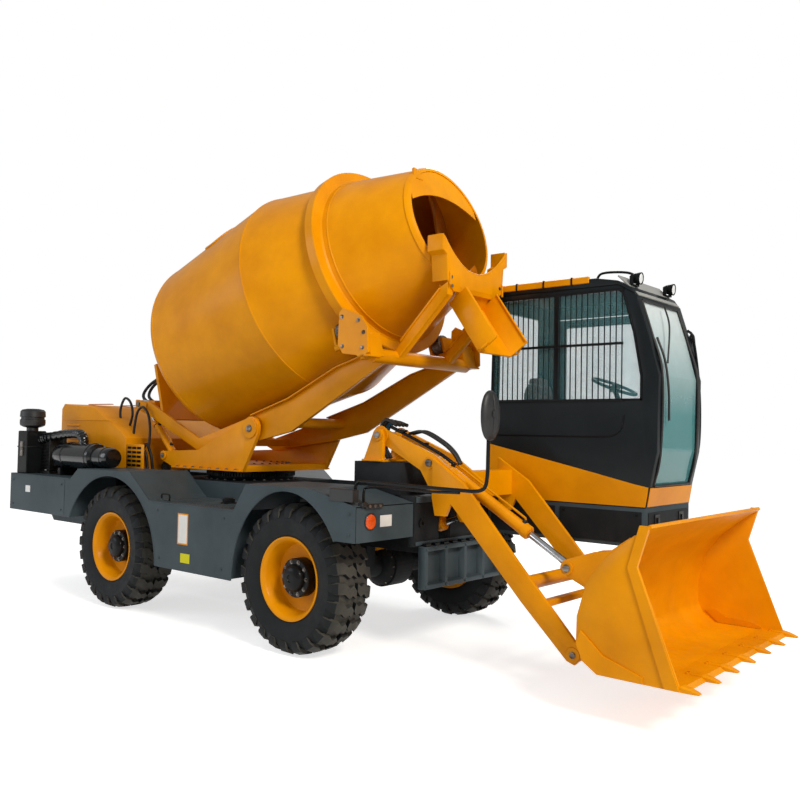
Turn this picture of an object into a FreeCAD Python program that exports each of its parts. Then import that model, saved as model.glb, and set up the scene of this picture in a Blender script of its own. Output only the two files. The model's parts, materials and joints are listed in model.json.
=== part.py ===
import FreeCAD, Part
import math
import os
import re
import Sketcher

# Self-loading concrete mixer, millimetres.  +X forwards (bucket end), +Y to the machine's left, +Z up,
# ground at z = 0.  Places along X are kept from the front axle, which stands FrontAxleX ahead of the origin.
# A size with a third item is kept from that datum, so what it carries moves with it.

os.makedirs("parts", exist_ok=True)
doc = FreeCAD.newDocument("SelfLoadingMixer")
sheet = doc.addObject("Spreadsheet::Sheet", "Dims")

DIMENSIONS = {
    "Running gear": (
        ("OverallLength", 7595), ("OverallHeight", 4095), ("FrontAxleX", -3122.5, "OverallLength / 2"),
        ("Wheelbase", -5080, "OverallLength"), ("RailBottom", -3315, "OverallHeight"),
        ("WheelY", 1020), ("TyreDia", 390, "RailBottom"), ("TyreWidth", 400),
        ("RimDia", 650), ("RimWidth", 330), ("TyreShoulder", 60), ("TyreBeadDia", 600), ("RimWall", 22),
        ("RimDiscSeat", 90), ("HubDia", 300), ("HubReach", 150), ("KingpinY", 800), ("KingpinDia", 60),
        ("KnuckleDia", 300), ("KnuckleWidth", 150), ("AxleTubeDia", 190), ("DiffDia", 380),
        ("DiffWidth", 220), ("AxleGap", 6), ("YokeReach", 120), ("YokeWall", 40), ("YokeArm", 130),
        ("YokeMiddle", 760), ("AxlePadLength", 220), ("SpindleDia", 140), ("SpindleGap", 5),
        ("RimFlange", 25), ("RimLip", 25), ("RimInner", 60), ("HubRound", 40), ("TyreFlex", 30)),
    "Chassis": (
        ("RailY", 300), ("RailWidth", 110), ("RailTop", 280, "RailBottom"),
        ("FrameFront", 700), ("FrameRear", -1885, "-Wheelbase"), ("CrossThick", 80),
        ("DeckFront", 630, "SlewX"), ("DeckRear", -630, "SlewX"), ("DeckHalf", 520),
        ("DeckTop", 460, "RailBottom"), ("NoseRear", 120), ("NoseHalf", 585),
        ("NoseTop", 460, "RailBottom"), ("NoseThick", 60), ("RingRadius", 430), ("RingWall", 90),
        ("SlewX", 635, "-Wheelbase"), ("SlotWidth", 150), ("SlotEnd", 20),
        ("SlotBottom", -20, "RailBottom")),
    "Side guards": (
        ("GuardHalf", 1250), ("SkirtThick", 30), ("GuardTop", 460, "RailBottom"), ("GuardPlate", 30),
        ("GuardInner", 600), ("GuardFront", 760), ("FrontBoxBottom", 154, "RailBottom"),
        ("ArchRadius", 75, "TyreDia / 2"), ("ArchTop", 415, "RailBottom"), ("SideBoxFront", -760),
        ("SideBoxRear", 870, "-Wheelbase"), ("SideBoxDepth", 400), ("SideBoxBottom", -280, "RailBottom"),
        ("SkirtFront", -608), ("SkirtRear", 830, "-Wheelbase"), ("RearBoxFront", -745, "-Wheelbase"),
        ("RearBoxRear", -1955, "-Wheelbase"), ("RearBoxBottom", 36, "RailBottom"), ("RearBoxDepth", 520),
        ("TailThick", 60)),
    "Front rack": (
        ("RackX", 760), ("RackDepth", 70), ("RackHalf", 530), ("RackBottom", -257, "RailBottom"),
        ("RackTop", 71, "RailBottom"), ("RackBar", 35), ("RackBack", 8)),
    "Engine and its gear": (
        ("HoodRear", -1915, "-Wheelbase"), ("HoodFront", 1350, "HoodRear"), ("HoodHalf", 700),
        ("HoodTop", 1210, "RailBottom"), ("HoodWall", 15), ("HoodNose", 840, "RailBottom"),
        ("HoodSideBottom", 490, "RailBottom"), ("EngineFront", 850, "EngineRear"),
        ("EngineRear", -1635, "-Wheelbase"), ("EngineHalf", 280), ("EngineTop", 905, "RailBottom"),
        ("FilterDia", 290), ("FilterY", -985), ("FilterRear", -1365, "-Wheelbase"),
        ("FilterFront", 1050, "FilterRear"), ("FilterZ", 640, "RailBottom"), ("CleanerDia", 190),
        ("CleanerX", -1635, "-Wheelbase"), ("CleanerTop", 1115, "RailBottom"), ("PipeDia", 110),
        ("CoolerX", -1635, "-Wheelbase"), ("CoolerLength", 240), ("CoolerDepth", 200),
        ("CoolerTop", 780, "RailBottom"), ("CleanerHeight", 90), ("LouvreFront", 320, "HoodFront"),
        ("LouvreTop", 780, "RailBottom"), ("HoodGap", 15)),
    "Loader tower and boom": (
        ("PivotX", 380), ("PivotZ", 930, "RailBottom"), ("TowerNear", -600), ("TowerFar", -260),
        ("TowerCheek", 35), ("TowerFoot", 715, "RailBottom"), ("PedestalFront", 620), ("PedestalRear", 130),
        ("PivotBoss", 60), ("PivotPin", 50), ("RootNear", -560), ("RootFar", -300), ("RootPlate", 30),
        ("ArmFar", 330), ("ArmPlate", 30), ("JointX", 880), ("JointZ", 725, "RailBottom"),
        ("BucketPinX", 2140), ("BucketPinZ", -20, "BucketFloor"), ("EarPinX", -105, "BucketPinX"),
        ("EarPinZ", 530, "BucketFloor"), ("BucketPinDia", 50), ("CrossTubeX", -385, "BucketPinX"),
        ("CrossTubeZ", 400, "BucketFloor"), ("CrossBarX", -260, "BucketPinX"),
        ("CrossBarZ", 265, "BucketFloor"), ("CrossTubeDia", 100), ("CylinderY", -430), ("EyeWidth", 70),
        ("EyeRadius", 50), ("EyeGap", 6), ("BarrelWall", 12), ("RodGap", 1), ("PinGap", 1), ("PinHead", 12),
        ("ElbowX", 1227), ("ElbowZ", 579, "RailBottom"), ("BoxRear", 930), ("BoxLength", 140),
        ("BoxBottom", 460, "RailBottom"), ("BoxTop", 535, "RailBottom"), ("BarrelDia", 92),
        ("BarrelLength", 920), ("RodDia", 50), ("RodInside", 680), ("LiftY", -200), ("LiftBaseX", -160),
        ("LiftBaseZ", -80, "RailBottom"), ("LiftEyeX", 985), ("LiftEyeZ", 310, "RailBottom"),
        ("LiftBarrelDia", 100), ("LiftBarrelLength", 950), ("LiftRodDia", 56), ("LiftRodInside", 780)),
    "Bucket": (
        ("BucketHalf", 970), ("BucketWall", 16), ("BucketLipX", 330, "BucketHeelX"),
        ("BucketLipZ", 920, "BucketFloor"), ("BucketEdgeX", 515, "BucketHeelX"),
        ("BucketFloor", -480, "RailBottom"), ("BucketHeelX", 370, "BucketPinX"), ("EarGap", 8),
        ("EarPlate", 25), ("TeethCount", 7), ("ToothWidth", 70), ("ToothReach", 100), ("ToothThick", 36)),
    "Drum carriage": (
        ("BaseHalf", 500), ("BaseRear", -540, "SlewX"), ("BaseFront", 540, "SlewX"),
        ("BaseBottom", 556, "RailBottom"), ("BasePlate", 60), ("CheekPinX", 640, "SlewX"),
        ("CheekPinZ", 965, "RailBottom"), ("CheekRadius", 110), ("CheekPlate", 35), ("CheekY", 560),
        ("BaseEyeX", -720, "SlewX"), ("BaseEyeZ", 676, "RailBottom"), ("FrameEyeX", -1270, "SlewX"),
        ("FrameEyeZ", 1205, "RailBottom"), ("TiltY", 430), ("TiltBarrelDia", 72), ("TiltBarrelLength", 470),
        ("TiltRodDia", 46), ("TiltRodInside", 300), ("FramePlate", 35), ("FrameY", 510),
        ("CradleX", 1213, "DrumX"), ("CradleZ", 1570, "RailBottom"), ("CradleDia", 120),
        ("CradleHalf", 640), ("StrutY", 300), ("StrutWide", 70)),
    "Drum": (
        ("DrumX", 357, "CheekPinX"), ("DrumZ", 2248, "RailBottom"), ("DrumPitch", 17.1),
        ("DrumRadius", 1000), ("DrumWall", 25), ("RearSeam", 1453), ("RearRadius", 944), ("RearDome", 330),
        ("HeadRadius", 330), ("RingAt", 750), ("RingWidth", 100), ("TrackRadius", 870), ("NeckAt", 854),
        ("NeckRadius", 754), ("MouthAt", 1571), ("MouthRadius", 516), ("RollerDia", 180),
        ("RollerWidth", 110), ("RollerY", 640), ("RollerGap", 5), ("RollerZ", -724), ("RollerSide", 8),
        ("RollerCheek", 25), ("ShelfDrop", 60), ("ShelfThick", 45), ("ShelfLength", 360),
        ("PostLength", 120), ("PostDrop", 180), ("FlangeThick", 40), ("FlangeDrop", 400), ("RollerPin", 50),
        ("GearboxDia", 420), ("GearboxLength", 300), ("GearboxGap", 10), ("MotorDia", 220),
        ("MotorLength", 220)),
    "Hopper": (
        ("HopperX", 1763, "DrumX"), ("HopperHalf", 450), ("HopperTop", 2520, "RailBottom"),
        ("HopperLow", 2080, "RailBottom"), ("HopperWall", 16), ("HopperDip", 2260, "RailBottom"),
        ("HopperShoulder", 2390, "RailBottom"), ("HopperLedge", 2365, "RailBottom"), ("HopperWaist", 400),
        ("HopperCorner", 2160, "RailBottom"), ("HopperNip", 380), ("HopperFoot", 300), ("HopperWing", 145),
        ("ChuteHalf", 230), ("ChuteReach", 300), ("ChuteDrop", 420), ("ChuteDepth", 200),
        ("ChuteBack", 105)),
    "Cab": (
        ("CabRight", 410), ("CabLeft", 1250), ("CabWall", 40), ("CabFloor", 415, "RailBottom"),
        ("CabRear", 760), ("CabFront", 2190), ("CabRoof", 2205, "RailBottom"), ("RoofThick", 75),
        ("SillZ", 1245, "RailBottom"), ("GlassThick", 12), ("GlassGap", 3),
        ("CabBaseBottom", 115, "RailBottom"), ("DoorRear", 200, "CabRear"), ("DoorFront", -310, "CabFront"),
        ("DoorGap", 8), ("PillarWidth", 75), ("GuardBarDia", 10), ("SeatX", 420, "CabRear"),
        ("SeatWidth", 480), ("SeatZ", 860, "RailBottom"), ("DashX", -410, "CabFront"),
        ("DashZ", 1120, "RailBottom"), ("SteerDia", 380), ("SteerRim", 28),
        ("ScreenBottom", 580, "RailBottom"), ("ScreenTop", 2015, "RailBottom"), ("SideRear", 40, "CabRear"),
        ("SideFront", -50, "CabFront"), ("SideTop", 2085, "RailBottom"), ("SideTopFront", -200, "CabFront"),
        ("GuardBars", 25), ("ScreenFoot", 570, "RailBottom"), ("ScreenChest", 840, "RailBottom"),
        ("ScreenBrow", 1420, "RailBottom"), ("ScreenHead", 1740, "RailBottom"),
        ("VisorZ", 2040, "RailBottom"), ("DoorSill", 720, "RailBottom"), ("FootLean", 25),
        ("ChestLean", 85), ("BrowLean", 95), ("HeadLean", 10), ("VisorLean", -85), ("RoofLean", -240)),
    "Mirrors and lamps": (
        ("MirrorY", -1180), ("MirrorTube", 26), ("MirrorPostX", 690), ("MirrorArmZ", 590, "RailBottom"),
        ("MirrorX", 1830), ("MirrorZ", 1070, "RailBottom"), ("MirrorDepth", 60), ("MirrorWidth", 200),
        ("MirrorHeight", 330), ("LeftMirrorX", -20, "CabFront"), ("LeftMirrorY", 1290),
        ("LeftMirrorZ", 1670, "RailBottom"), ("LampSize", 90), ("MarkerDia", 95), ("MarkerY", 1090),
        ("MarkerZ", 300, "RailBottom")),
}

ALIASES = set()
ROW = 0
for section, entries in DIMENSIONS.items():
    ROW += 1
    sheet.set("A%d" % ROW, section)
    for alias, value, *datum in entries:
        ROW += 1
        sheet.set("A%d" % ROW, alias)
        sheet.set("B%d" % ROW, repr(value))
        if datum:
            sheet.set("C%d" % ROW, "=%s + B%d" % (datum[0], ROW))
        sheet.setAlias(("C%d" if datum else "B%d") % ROW, alias)
        ALIASES.add(alias)
doc.recompute()

SUB_PARTS = []
FIRST_RADIUS = 100  # a sketch's corners wait on this circle until their formulas place them


def expression(text):
    """A formula in the sheet's words, as an expression that reads the sheet."""
    return re.sub(r"[A-Za-z]\w*", lambda m: "Dims." + m.group() if m.group() in ALIASES else m.group(), str(text))


def bind(thing, **formulas):
    """Bind properties to formulas: a name with _ stands for one with . in it."""
    for prop, text in formulas.items():
        thing.setExpression(prop.replace("_", "."), expression(text))


def place(thing, x="0", y="0", z="0"):
    """Keep a thing's place bound to the sheet; X is counted from the front axle."""
    bind(thing, Placement_Base_x="FrontAxleX + " + str(x), Placement_Base_y=y, Placement_Base_z=z)
    return thing


TURNS = {
    "x": FreeCAD.Rotation(FreeCAD.Vector(0, 1, 0), 90),
    "y": FreeCAD.Rotation(FreeCAD.Vector(1, 0, 0), -90),
    "z": FreeCAD.Rotation(),
}


def box(name, size, at, local=False):
    """A box from its least corner; local ones are counted from their own assembly's origin."""
    thing = doc.addObject("Part::Box", name)
    bind(thing, Length=size[0], Width=size[1], Height=size[2])
    x = str(at[0]) if local else "FrontAxleX + " + str(at[0])
    bind(thing, Placement_Base_x=x, Placement_Base_y=at[1], Placement_Base_z=at[2])
    return thing


def rod(name, diameter, length, at, axis="z", local=False):
    """A round bar that starts at a point and runs along an axis."""
    thing = doc.addObject("Part::Cylinder", name)
    thing.Placement = FreeCAD.Placement(FreeCAD.Vector(), TURNS[axis])
    bind(thing, Radius="(" + str(diameter) + ") / 2", Height=length)
    x = str(at[0]) if local else "FrontAxleX + " + str(at[0])
    bind(thing, Placement_Base_x=x, Placement_Base_y=at[1], Placement_Base_z=at[2])
    return thing


def sketch_in(body, role, outline):
    """A closed outline of straight lines whose every corner is bound to two formulas."""
    plane = [o for o in body.Origin.OriginFeatures if o.Role == role][0]
    sketch = body.newObject("Sketcher::SketchObject", body.Name + "_outline")
    sketch.AttachmentSupport = [(plane, "")]
    sketch.MapMode = "FlatFace"
    count = len(outline)
    turn = 2 * math.pi / count
    start = [FreeCAD.Vector(FIRST_RADIUS * math.cos(turn * i), FIRST_RADIUS * math.sin(turn * i), 0)
             for i in range(count)]
    for i in range(count):
        sketch.addGeometry(Part.LineSegment(start[i], start[(i + 1) % count]))
    for i in range(count):
        sketch.addConstraint(Sketcher.Constraint("Coincident", i, 2, (i + 1) % count, 1))
    for i, corner in enumerate(outline):
        for kind, text, now in (("DistanceX", corner[0], start[i].x), ("DistanceY", corner[1], start[i].y)):
            index = sketch.addConstraint(Sketcher.Constraint(kind, -1, 1, i, 1, now))
            sketch.setExpression("Constraints[%d]" % index, expression(text))
    return sketch


def side_plate(name, outline, y_from, thickness):
    """A plate cut to an outline in X and Z, from one side face and thickness towards +Y."""
    body = doc.addObject("PartDesign::Body", name)
    pad = body.newObject("PartDesign::Pad", name + "_pad")
    pad.Profile = sketch_in(body, "XZ_Plane", outline)
    pad.Reversed = True
    bind(pad, Length=thickness)
    place(body, y=y_from)
    return body


def flat_plate(name, outline, z_from, thickness):
    """A plate cut to an outline in X and Y, thickness upwards."""
    body = doc.addObject("PartDesign::Body", name)
    pad = body.newObject("PartDesign::Pad", name + "_pad")
    pad.Profile = sketch_in(body, "XY_Plane", outline)
    bind(pad, Length=thickness)
    place(body, z=z_from)
    return body


def turned(name, outline, axis="x"):
    """A body turned about its own X (or Y) axis from (along, radius) corners."""
    body = doc.addObject("PartDesign::Body", name)
    turn = body.newObject("PartDesign::Revolution", name + "_turn")
    sketch = sketch_in(body, "XZ_Plane" if axis == "x" else "YZ_Plane", outline)
    turn.Profile = sketch
    turn.ReferenceAxis = (sketch, ["H_Axis"])
    turn.Angle = 360
    return body


def fuse(name, things, refine=True):
    if len(things) == 1:
        return things[0]
    thing = doc.addObject("Part::MultiFuse", name)
    thing.Shapes = things
    thing.Refine = refine
    return thing


def cut(name, base, tools):
    thing = doc.addObject("Part::Cut", name)
    thing.Base = base
    thing.Tool = fuse(name + "_tools", tools)
    return thing


def together(name, things):
    """Solids of one node that don't touch."""
    thing = doc.addObject("Part::Compound", name)
    thing.Links = things
    return thing


def mirrored(name, source):
    """The same piece on the machine's other side."""
    thing = doc.addObject("Part::Mirroring", name)
    thing.Source = source
    thing.Base = FreeCAD.Vector(0, 0, 0)
    thing.Normal = FreeCAD.Vector(0, 1, 0)
    return thing


def node(label, thing):
    """Keep a sub-part: its label names its file."""
    thing.Label = label
    SUB_PARTS.append(thing)
    return thing


# ---- chassis -------------------------------------------------------------------------------------------------

def chassis():
    pieces = []
    for side, y in (("right", "-RailY - RailWidth"), ("left", "RailY")):
        pieces.append(box("rail_" + side, ("FrameFront - FrameRear", "RailWidth", "RailTop - RailBottom"),
                          ("FrameRear", y, "RailBottom")))
    for i, x in enumerate(("FrameRear", "RearBoxFront", "DeckRear", "DeckFront - CrossThick", "-Wheelbase / 4", "NoseRear")):
        pieces.append(box("cross_%d" % i, ("CrossThick", "2 * RailY", "RailTop - RailBottom"),
                          (x, "-RailY", "RailBottom")))
    plates = [box("deck", ("DeckFront - DeckRear", "2 * DeckHalf", "DeckTop - RailTop"),
                  ("DeckRear", "-DeckHalf", "RailTop")),
              box("nose_deck", ("FrameFront - NoseRear", "2 * NoseHalf", "NoseTop - RailTop"),
                  ("NoseRear", "-NoseHalf", "RailTop")),
              box("nose_face", ("NoseThick", "2 * NoseHalf", "NoseTop - RackTop"),
                  ("FrameFront", "-NoseHalf", "RackTop")),
              box("pedestal", ("PedestalFront - PedestalRear", "TowerFar - TowerNear", "TowerFoot - NoseTop"),
                  ("PedestalRear", "TowerNear", "NoseTop"))]
    for i, y in enumerate(("LiftY - LiftBarrelDia / 2 - EyeGap - EarPlate", "LiftY + LiftBarrelDia / 2 + EyeGap")):
        pieces.append(box("lift_lug_%d" % i, ("2 * EyeRadius", "EarPlate", "RailTop - LiftBaseZ + EyeRadius"),
                          ("LiftBaseX - EyeRadius", y, "LiftBaseZ - EyeRadius")))
    pieces.append(box("lift_bridge", ("2 * EyeRadius", "2 * RailY", "CrossThick"),
                      ("LiftBaseX - EyeRadius", "-RailY", "RailTop - CrossThick")))
    pieces.append(rod("lift_pin", "PivotPin", "LiftBarrelDia + 2 * EyeGap + 2 * EarPlate",
                      ("LiftBaseX", "LiftY - LiftBarrelDia / 2 - EyeGap - EarPlate", "LiftBaseZ"), "y"))
    slot = box("lift_slot", ("FrameFront + NoseThick - NoseRear + 2 * SlotEnd", "SlotWidth", "NoseTop - SlotBottom + SlotEnd"),
               ("NoseRear - SlotEnd", "LiftY - SlotWidth / 2", "SlotBottom"))
    node("chassis_frame", cut("chassis_steel", fuse("chassis_blank", pieces, False), [slot]))
    solid_deck = plates.pop(0)
    node("deck_plates", together("deck_set", [solid_deck, cut("nose_steel", fuse("nose_blank", plates, False), [slot])]))


def slew_ring():
    outer = rod("ring_outer", "2 * RingRadius", "BaseBottom - DeckTop", ("SlewX", "0", "DeckTop"))
    inner = rod("ring_bore", "2 * (RingRadius - RingWall)", "BaseBottom - DeckTop", ("SlewX", "0", "DeckTop"))
    return node("slew_ring", cut("ring_solid", outer, [inner]))


def side_guards():
    """The grey side plating: fender tops, a skirt with two open arches, the box between the wheels."""
    arch = ((-1, 0), (-0.93, 0.5), (-0.7, 0.85), (-0.35, 1), (0.35, 1), (0.7, 0.85), (0.93, 0.5), (1, 0))
    outline = [("RearBoxRear", "RearBoxBottom"), ("RearBoxRear", "GuardTop"), ("GuardFront", "GuardTop"),
               ("GuardFront", "FrontBoxBottom")]
    rise = "(ArchTop - FrontBoxBottom)"
    for across, up in reversed(arch[1:]):
        outline.append(("%s * ArchRadius" % across, "FrontBoxBottom + %s * %s" % (up, rise)))
    outline += [("SkirtFront", "SideBoxBottom"), ("SkirtRear", "SideBoxBottom")]
    for across, up in reversed(arch[:-1]):
        outline.append(("%s * ArchRadius - Wheelbase" % across, "FrontBoxBottom + %s * %s" % (up, rise)))
    outline[-1] = ("RearBoxFront", "RearBoxBottom")
    skirt = side_plate("skirt", outline, "-GuardHalf", "SkirtThick")
    top = box("guard_top", ("GuardFront - RearBoxRear", "GuardHalf - SkirtThick - GuardInner", "GuardPlate"),
              ("RearBoxRear", "SkirtThick - GuardHalf", "GuardTop - GuardPlate"))
    face = box("guard_face", ("SkirtThick", "GuardHalf - SkirtThick - GuardInner", "GuardTop - FrontBoxBottom"),
               ("GuardFront - SkirtThick", "SkirtThick - GuardHalf", "FrontBoxBottom"))
    side_box = box("side_box", ("SideBoxFront - SideBoxRear", "SideBoxDepth - SkirtThick",
                                "GuardTop - GuardPlate - SideBoxBottom"),
                   ("SideBoxRear", "SkirtThick - GuardHalf", "SideBoxBottom"))
    rear_box = box("rear_box", ("RearBoxFront - RearBoxRear", "RearBoxDepth - SkirtThick",
                                "GuardTop - GuardPlate - RearBoxBottom"),
                   ("RearBoxRear", "SkirtThick - GuardHalf", "RearBoxBottom"))
    web = box("side_web", ("SideBoxFront - SideBoxRear", "GuardHalf - SideBoxDepth - RailY - RailWidth", "GuardPlate"),
              ("SideBoxRear", "SideBoxDepth - GuardHalf", "RailBottom"))
    guard = fuse("guard_solid", [skirt, top, face, side_box, rear_box, web])
    node("right_guard", guard)
    node("left_guard", mirrored("guard_mirror", guard))
    node("tail_plate", box("tail", ("TailThick", "2 * (GuardHalf - RearBoxDepth)", "GuardTop - GuardPlate - RearBoxBottom"),
                           ("RearBoxRear", "RearBoxDepth - GuardHalf", "RearBoxBottom")))


def front_rack():
    """The open four-cell rack that hangs under the nose."""
    whole = box("rack_whole", ("RackDepth", "2 * RackHalf", "RackTop - RackBottom"),
                ("RackX", "-RackHalf", "RackBottom"))
    cell = "(2 * RackHalf - 5 * RackBar) / 4"
    cells = [box("rack_cell_%d" % i, ("RackDepth", cell, "RackTop - RackBottom - 2 * RackBar"),
                 ("RackX + RackBack", "-RackHalf + RackBar + %d * (RackBar + %s)" % (i, cell), "RackBottom + RackBar"))
             for i in range(4)]
    return node("front_rack", cut("rack_solid", whole, cells))


# ---- running gear --------------------------------------------------------------------------------------------

def axle(label, x):
    """Tube and differential, the pads up to the rails and a yoke round each knuckle."""
    reach = "(KingpinY - KnuckleWidth / 2 - AxleGap)"
    pieces = [rod(label + "_tube", "AxleTubeDia", "2 * " + reach, (x, "-" + reach, "TyreDia / 2"), "y"),
              rod(label + "_diff", "DiffDia", "DiffWidth", (x, "-DiffWidth / 2", "TyreDia / 2"), "y")]
    for side, sign in (("right", "-1"), ("left", "1")):
        pieces.append(box(label + "_pad_" + side, ("AxlePadLength", "RailWidth", "RailBottom - TyreDia / 2"),
                          (x + " - AxlePadLength / 2", "%s * (RailY + RailWidth / 2) - RailWidth / 2" % sign,
                           "TyreDia / 2")))
        for level, z in (("low", "TyreDia / 2 - KnuckleDia / 2 - AxleGap - YokeWall"),
                         ("high", "TyreDia / 2 + KnuckleDia / 2 + AxleGap")):
            pieces.append(box(label + "_fork_" + level + "_" + side, ("YokeReach", "YokeArm", "YokeWall"),
                              (x + " - YokeReach / 2", "%s * YokeMiddle - YokeArm / 2" % sign, z)))
        pieces.append(box(label + "_yoke_" + side, ("YokeReach", "YokeWall", "KnuckleDia + 2 * AxleGap + 2 * YokeWall"),
                          (x + " - YokeReach / 2", "%s * (%s - YokeWall / 2) - YokeWall / 2" % (sign, reach),
                           "TyreDia / 2 - KnuckleDia / 2 - AxleGap - YokeWall")))
    bores = [rod(label + "_bore_" + side, "KingpinDia + PinGap", "2 * KnuckleDia",
                 (x, sign + " * KingpinY", "TyreDia / 2 - KnuckleDia"))
             for side, sign in (("right", "-1"), ("left", "1"))]
    return node(label, cut(label + "_solid", fuse(label + "_blank", pieces), bores))


def wheel(corner, x, sign):
    """Knuckle, dished rim with its hub, and tyre of one corner; the outer side faces sign * Y."""
    y = "%d * WheelY" % sign
    knuckle = fuse(corner + "_knuckle_solid", [
        rod(corner + "_kingpin", "KingpinDia", "KnuckleDia + 2 * AxleGap + 2 * YokeWall",
            (x, "%d * KingpinY" % sign, "TyreDia / 2 - KnuckleDia / 2 - AxleGap - YokeWall")),
        rod(corner + "_post", "KnuckleWidth", "KnuckleDia", (x, "%d * KingpinY" % sign, "TyreDia / 2 - KnuckleDia / 2")),
        rod(corner + "_spindle", "SpindleDia", "WheelY + RimInner - SpindleGap - KingpinY",
            (x, "KingpinY" if sign > 0 else "SpindleGap - WheelY - RimInner", "TyreDia / 2"), "y")])
    node(corner + "_knuckle", knuckle)
    half = "RimWidth / 2"
    disc = "RimDiscSeat"
    rim = turned(corner + "_rim_body", [
        ("-(%s)" % half, "RimDia / 2"), ("-(%s)" % half, "RimDia / 2 - RimWall - RimFlange"),
        (disc + " - RimWall", "RimDia / 2 - RimWall - RimFlange"), (disc + " - RimWall", "HubDia / 2"),
        ("RimInner", "HubDia / 2"), ("RimInner", "0"),
        ("HubReach", "0"), ("HubReach", "HubDia / 2 - HubRound"), ("HubReach - HubRound", "HubDia / 2"),
        (disc, "HubDia / 2"), (disc, "RimDia / 2 - RimWall - RimFlange"), (half, "RimDia / 2 - RimFlange"),
        (half, "RimDia / 2"), ("%s - RimLip" % half, "RimDia / 2"), ("%s - RimLip" % half, "TyreBeadDia / 2"),
        ("RimLip - %s" % half, "TyreBeadDia / 2"), ("RimLip - %s" % half, "RimDia / 2")], "y")
    tyre = turned(corner + "_tyre_body", [
        ("RimLip - %s" % half, "TyreBeadDia / 2"), ("%s - RimLip" % half, "TyreBeadDia / 2"),
        ("%s - RimLip" % half, "RimDia / 2 + TyreFlex"), ("TyreWidth / 2", "(RimDia + TyreDia) / 4"),
        ("TyreWidth / 2", "TyreDia / 2 - TyreShoulder"), ("TyreWidth / 2 - TyreShoulder / 2", "TyreDia / 2"),
        ("TyreShoulder / 2 - TyreWidth / 2", "TyreDia / 2"), ("-TyreWidth / 2", "TyreDia / 2 - TyreShoulder"),
        ("-TyreWidth / 2", "(RimDia + TyreDia) / 4"), ("RimLip - %s" % half, "RimDia / 2 + TyreFlex")], "y")
    for body in (rim, tyre):
        if sign < 0:
            body.Placement = FreeCAD.Placement(FreeCAD.Vector(), FreeCAD.Rotation(FreeCAD.Vector(0, 0, 1), 180))
        place(body, x, y, "TyreDia / 2")
    node(corner + "_rim", rim)
    node(corner + "_tyre", tyre)


# ---- engine and what stands round it -------------------------------------------------------------------------

def engine_bay():
    node("engine_block", box("engine", ("EngineFront - EngineRear", "2 * EngineHalf", "EngineTop - RailTop"),
                             ("EngineRear", "-EngineHalf", "RailTop")))

    def hood_outline(wall):
        """The hood seen from the side, drawn in by a wall."""
        return [("HoodRear + %s" % wall, "HoodSideBottom"), ("HoodRear + %s" % wall, "HoodTop - 60 - %s" % wall),
                ("HoodRear + 60 + %s" % wall, "HoodTop - %s" % wall),
                ("HoodFront - 660", "HoodTop - 45 - %s" % wall), ("HoodFront - 360", "HoodTop - 190 - %s" % wall),
                ("HoodFront - 110", "(HoodTop + HoodNose) / 2 - 115 - %s" % wall),
                ("HoodFront - %s" % wall, "HoodNose - %s" % wall), ("HoodFront - %s" % wall, "HoodSideBottom")]

    shell = side_plate("hood_shell", hood_outline("0"), "-HoodHalf", "2 * HoodHalf")
    room = side_plate("hood_room", hood_outline("HoodWall"), "HoodWall - HoodHalf", "2 * (HoodHalf - HoodWall)")
    node("engine_hood", cut("hood_solid", shell, [room]))
    node("side_grilles", together("grille_pair", [
        box("grille_" + side, ("LouvreFront - HoodFront - HoodGap", "HoodWall", "LouvreTop - GuardTop"),
            ("HoodFront + HoodGap", y, "GuardTop"))
        for side, y in (("right", "-HoodHalf"), ("left", "HoodHalf - HoodWall"))]))
    can = rod("filter_can", "FilterDia", "FilterFront - FilterRear", ("FilterRear", "FilterY", "FilterZ"), "x")
    foot = box("filter_foot", ("FilterFront - FilterRear - FilterDia", "PipeDia", "FilterZ - GuardTop"),
               ("FilterRear + FilterDia / 2", "FilterY - PipeDia / 2", "GuardTop"))
    pipe = rod("filter_pipe", "PipeDia", "FilterRear - CleanerX", ("CleanerX", "FilterY", "FilterZ"), "x")
    stack = rod("cleaner_stack", "PipeDia", "CleanerTop - FilterZ", ("CleanerX", "FilterY", "FilterZ"))
    cap = rod("cleaner_cap", "CleanerDia", "CleanerHeight", ("CleanerX", "FilterY", "CleanerTop - CleanerHeight"))
    node("air_cleaner", fuse("air_cleaner_solid", [can, foot, pipe, stack, cap]))
    node("oil_cooler", box("cooler", ("CoolerLength", "CoolerDepth", "CoolerTop - GuardTop"),
                           ("CoolerX - CoolerLength / 2", "FilterDia / 2 - FilterY - CoolerDepth", "GuardTop")))


# ---- hydraulic cylinders -------------------------------------------------------------------------------------

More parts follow.
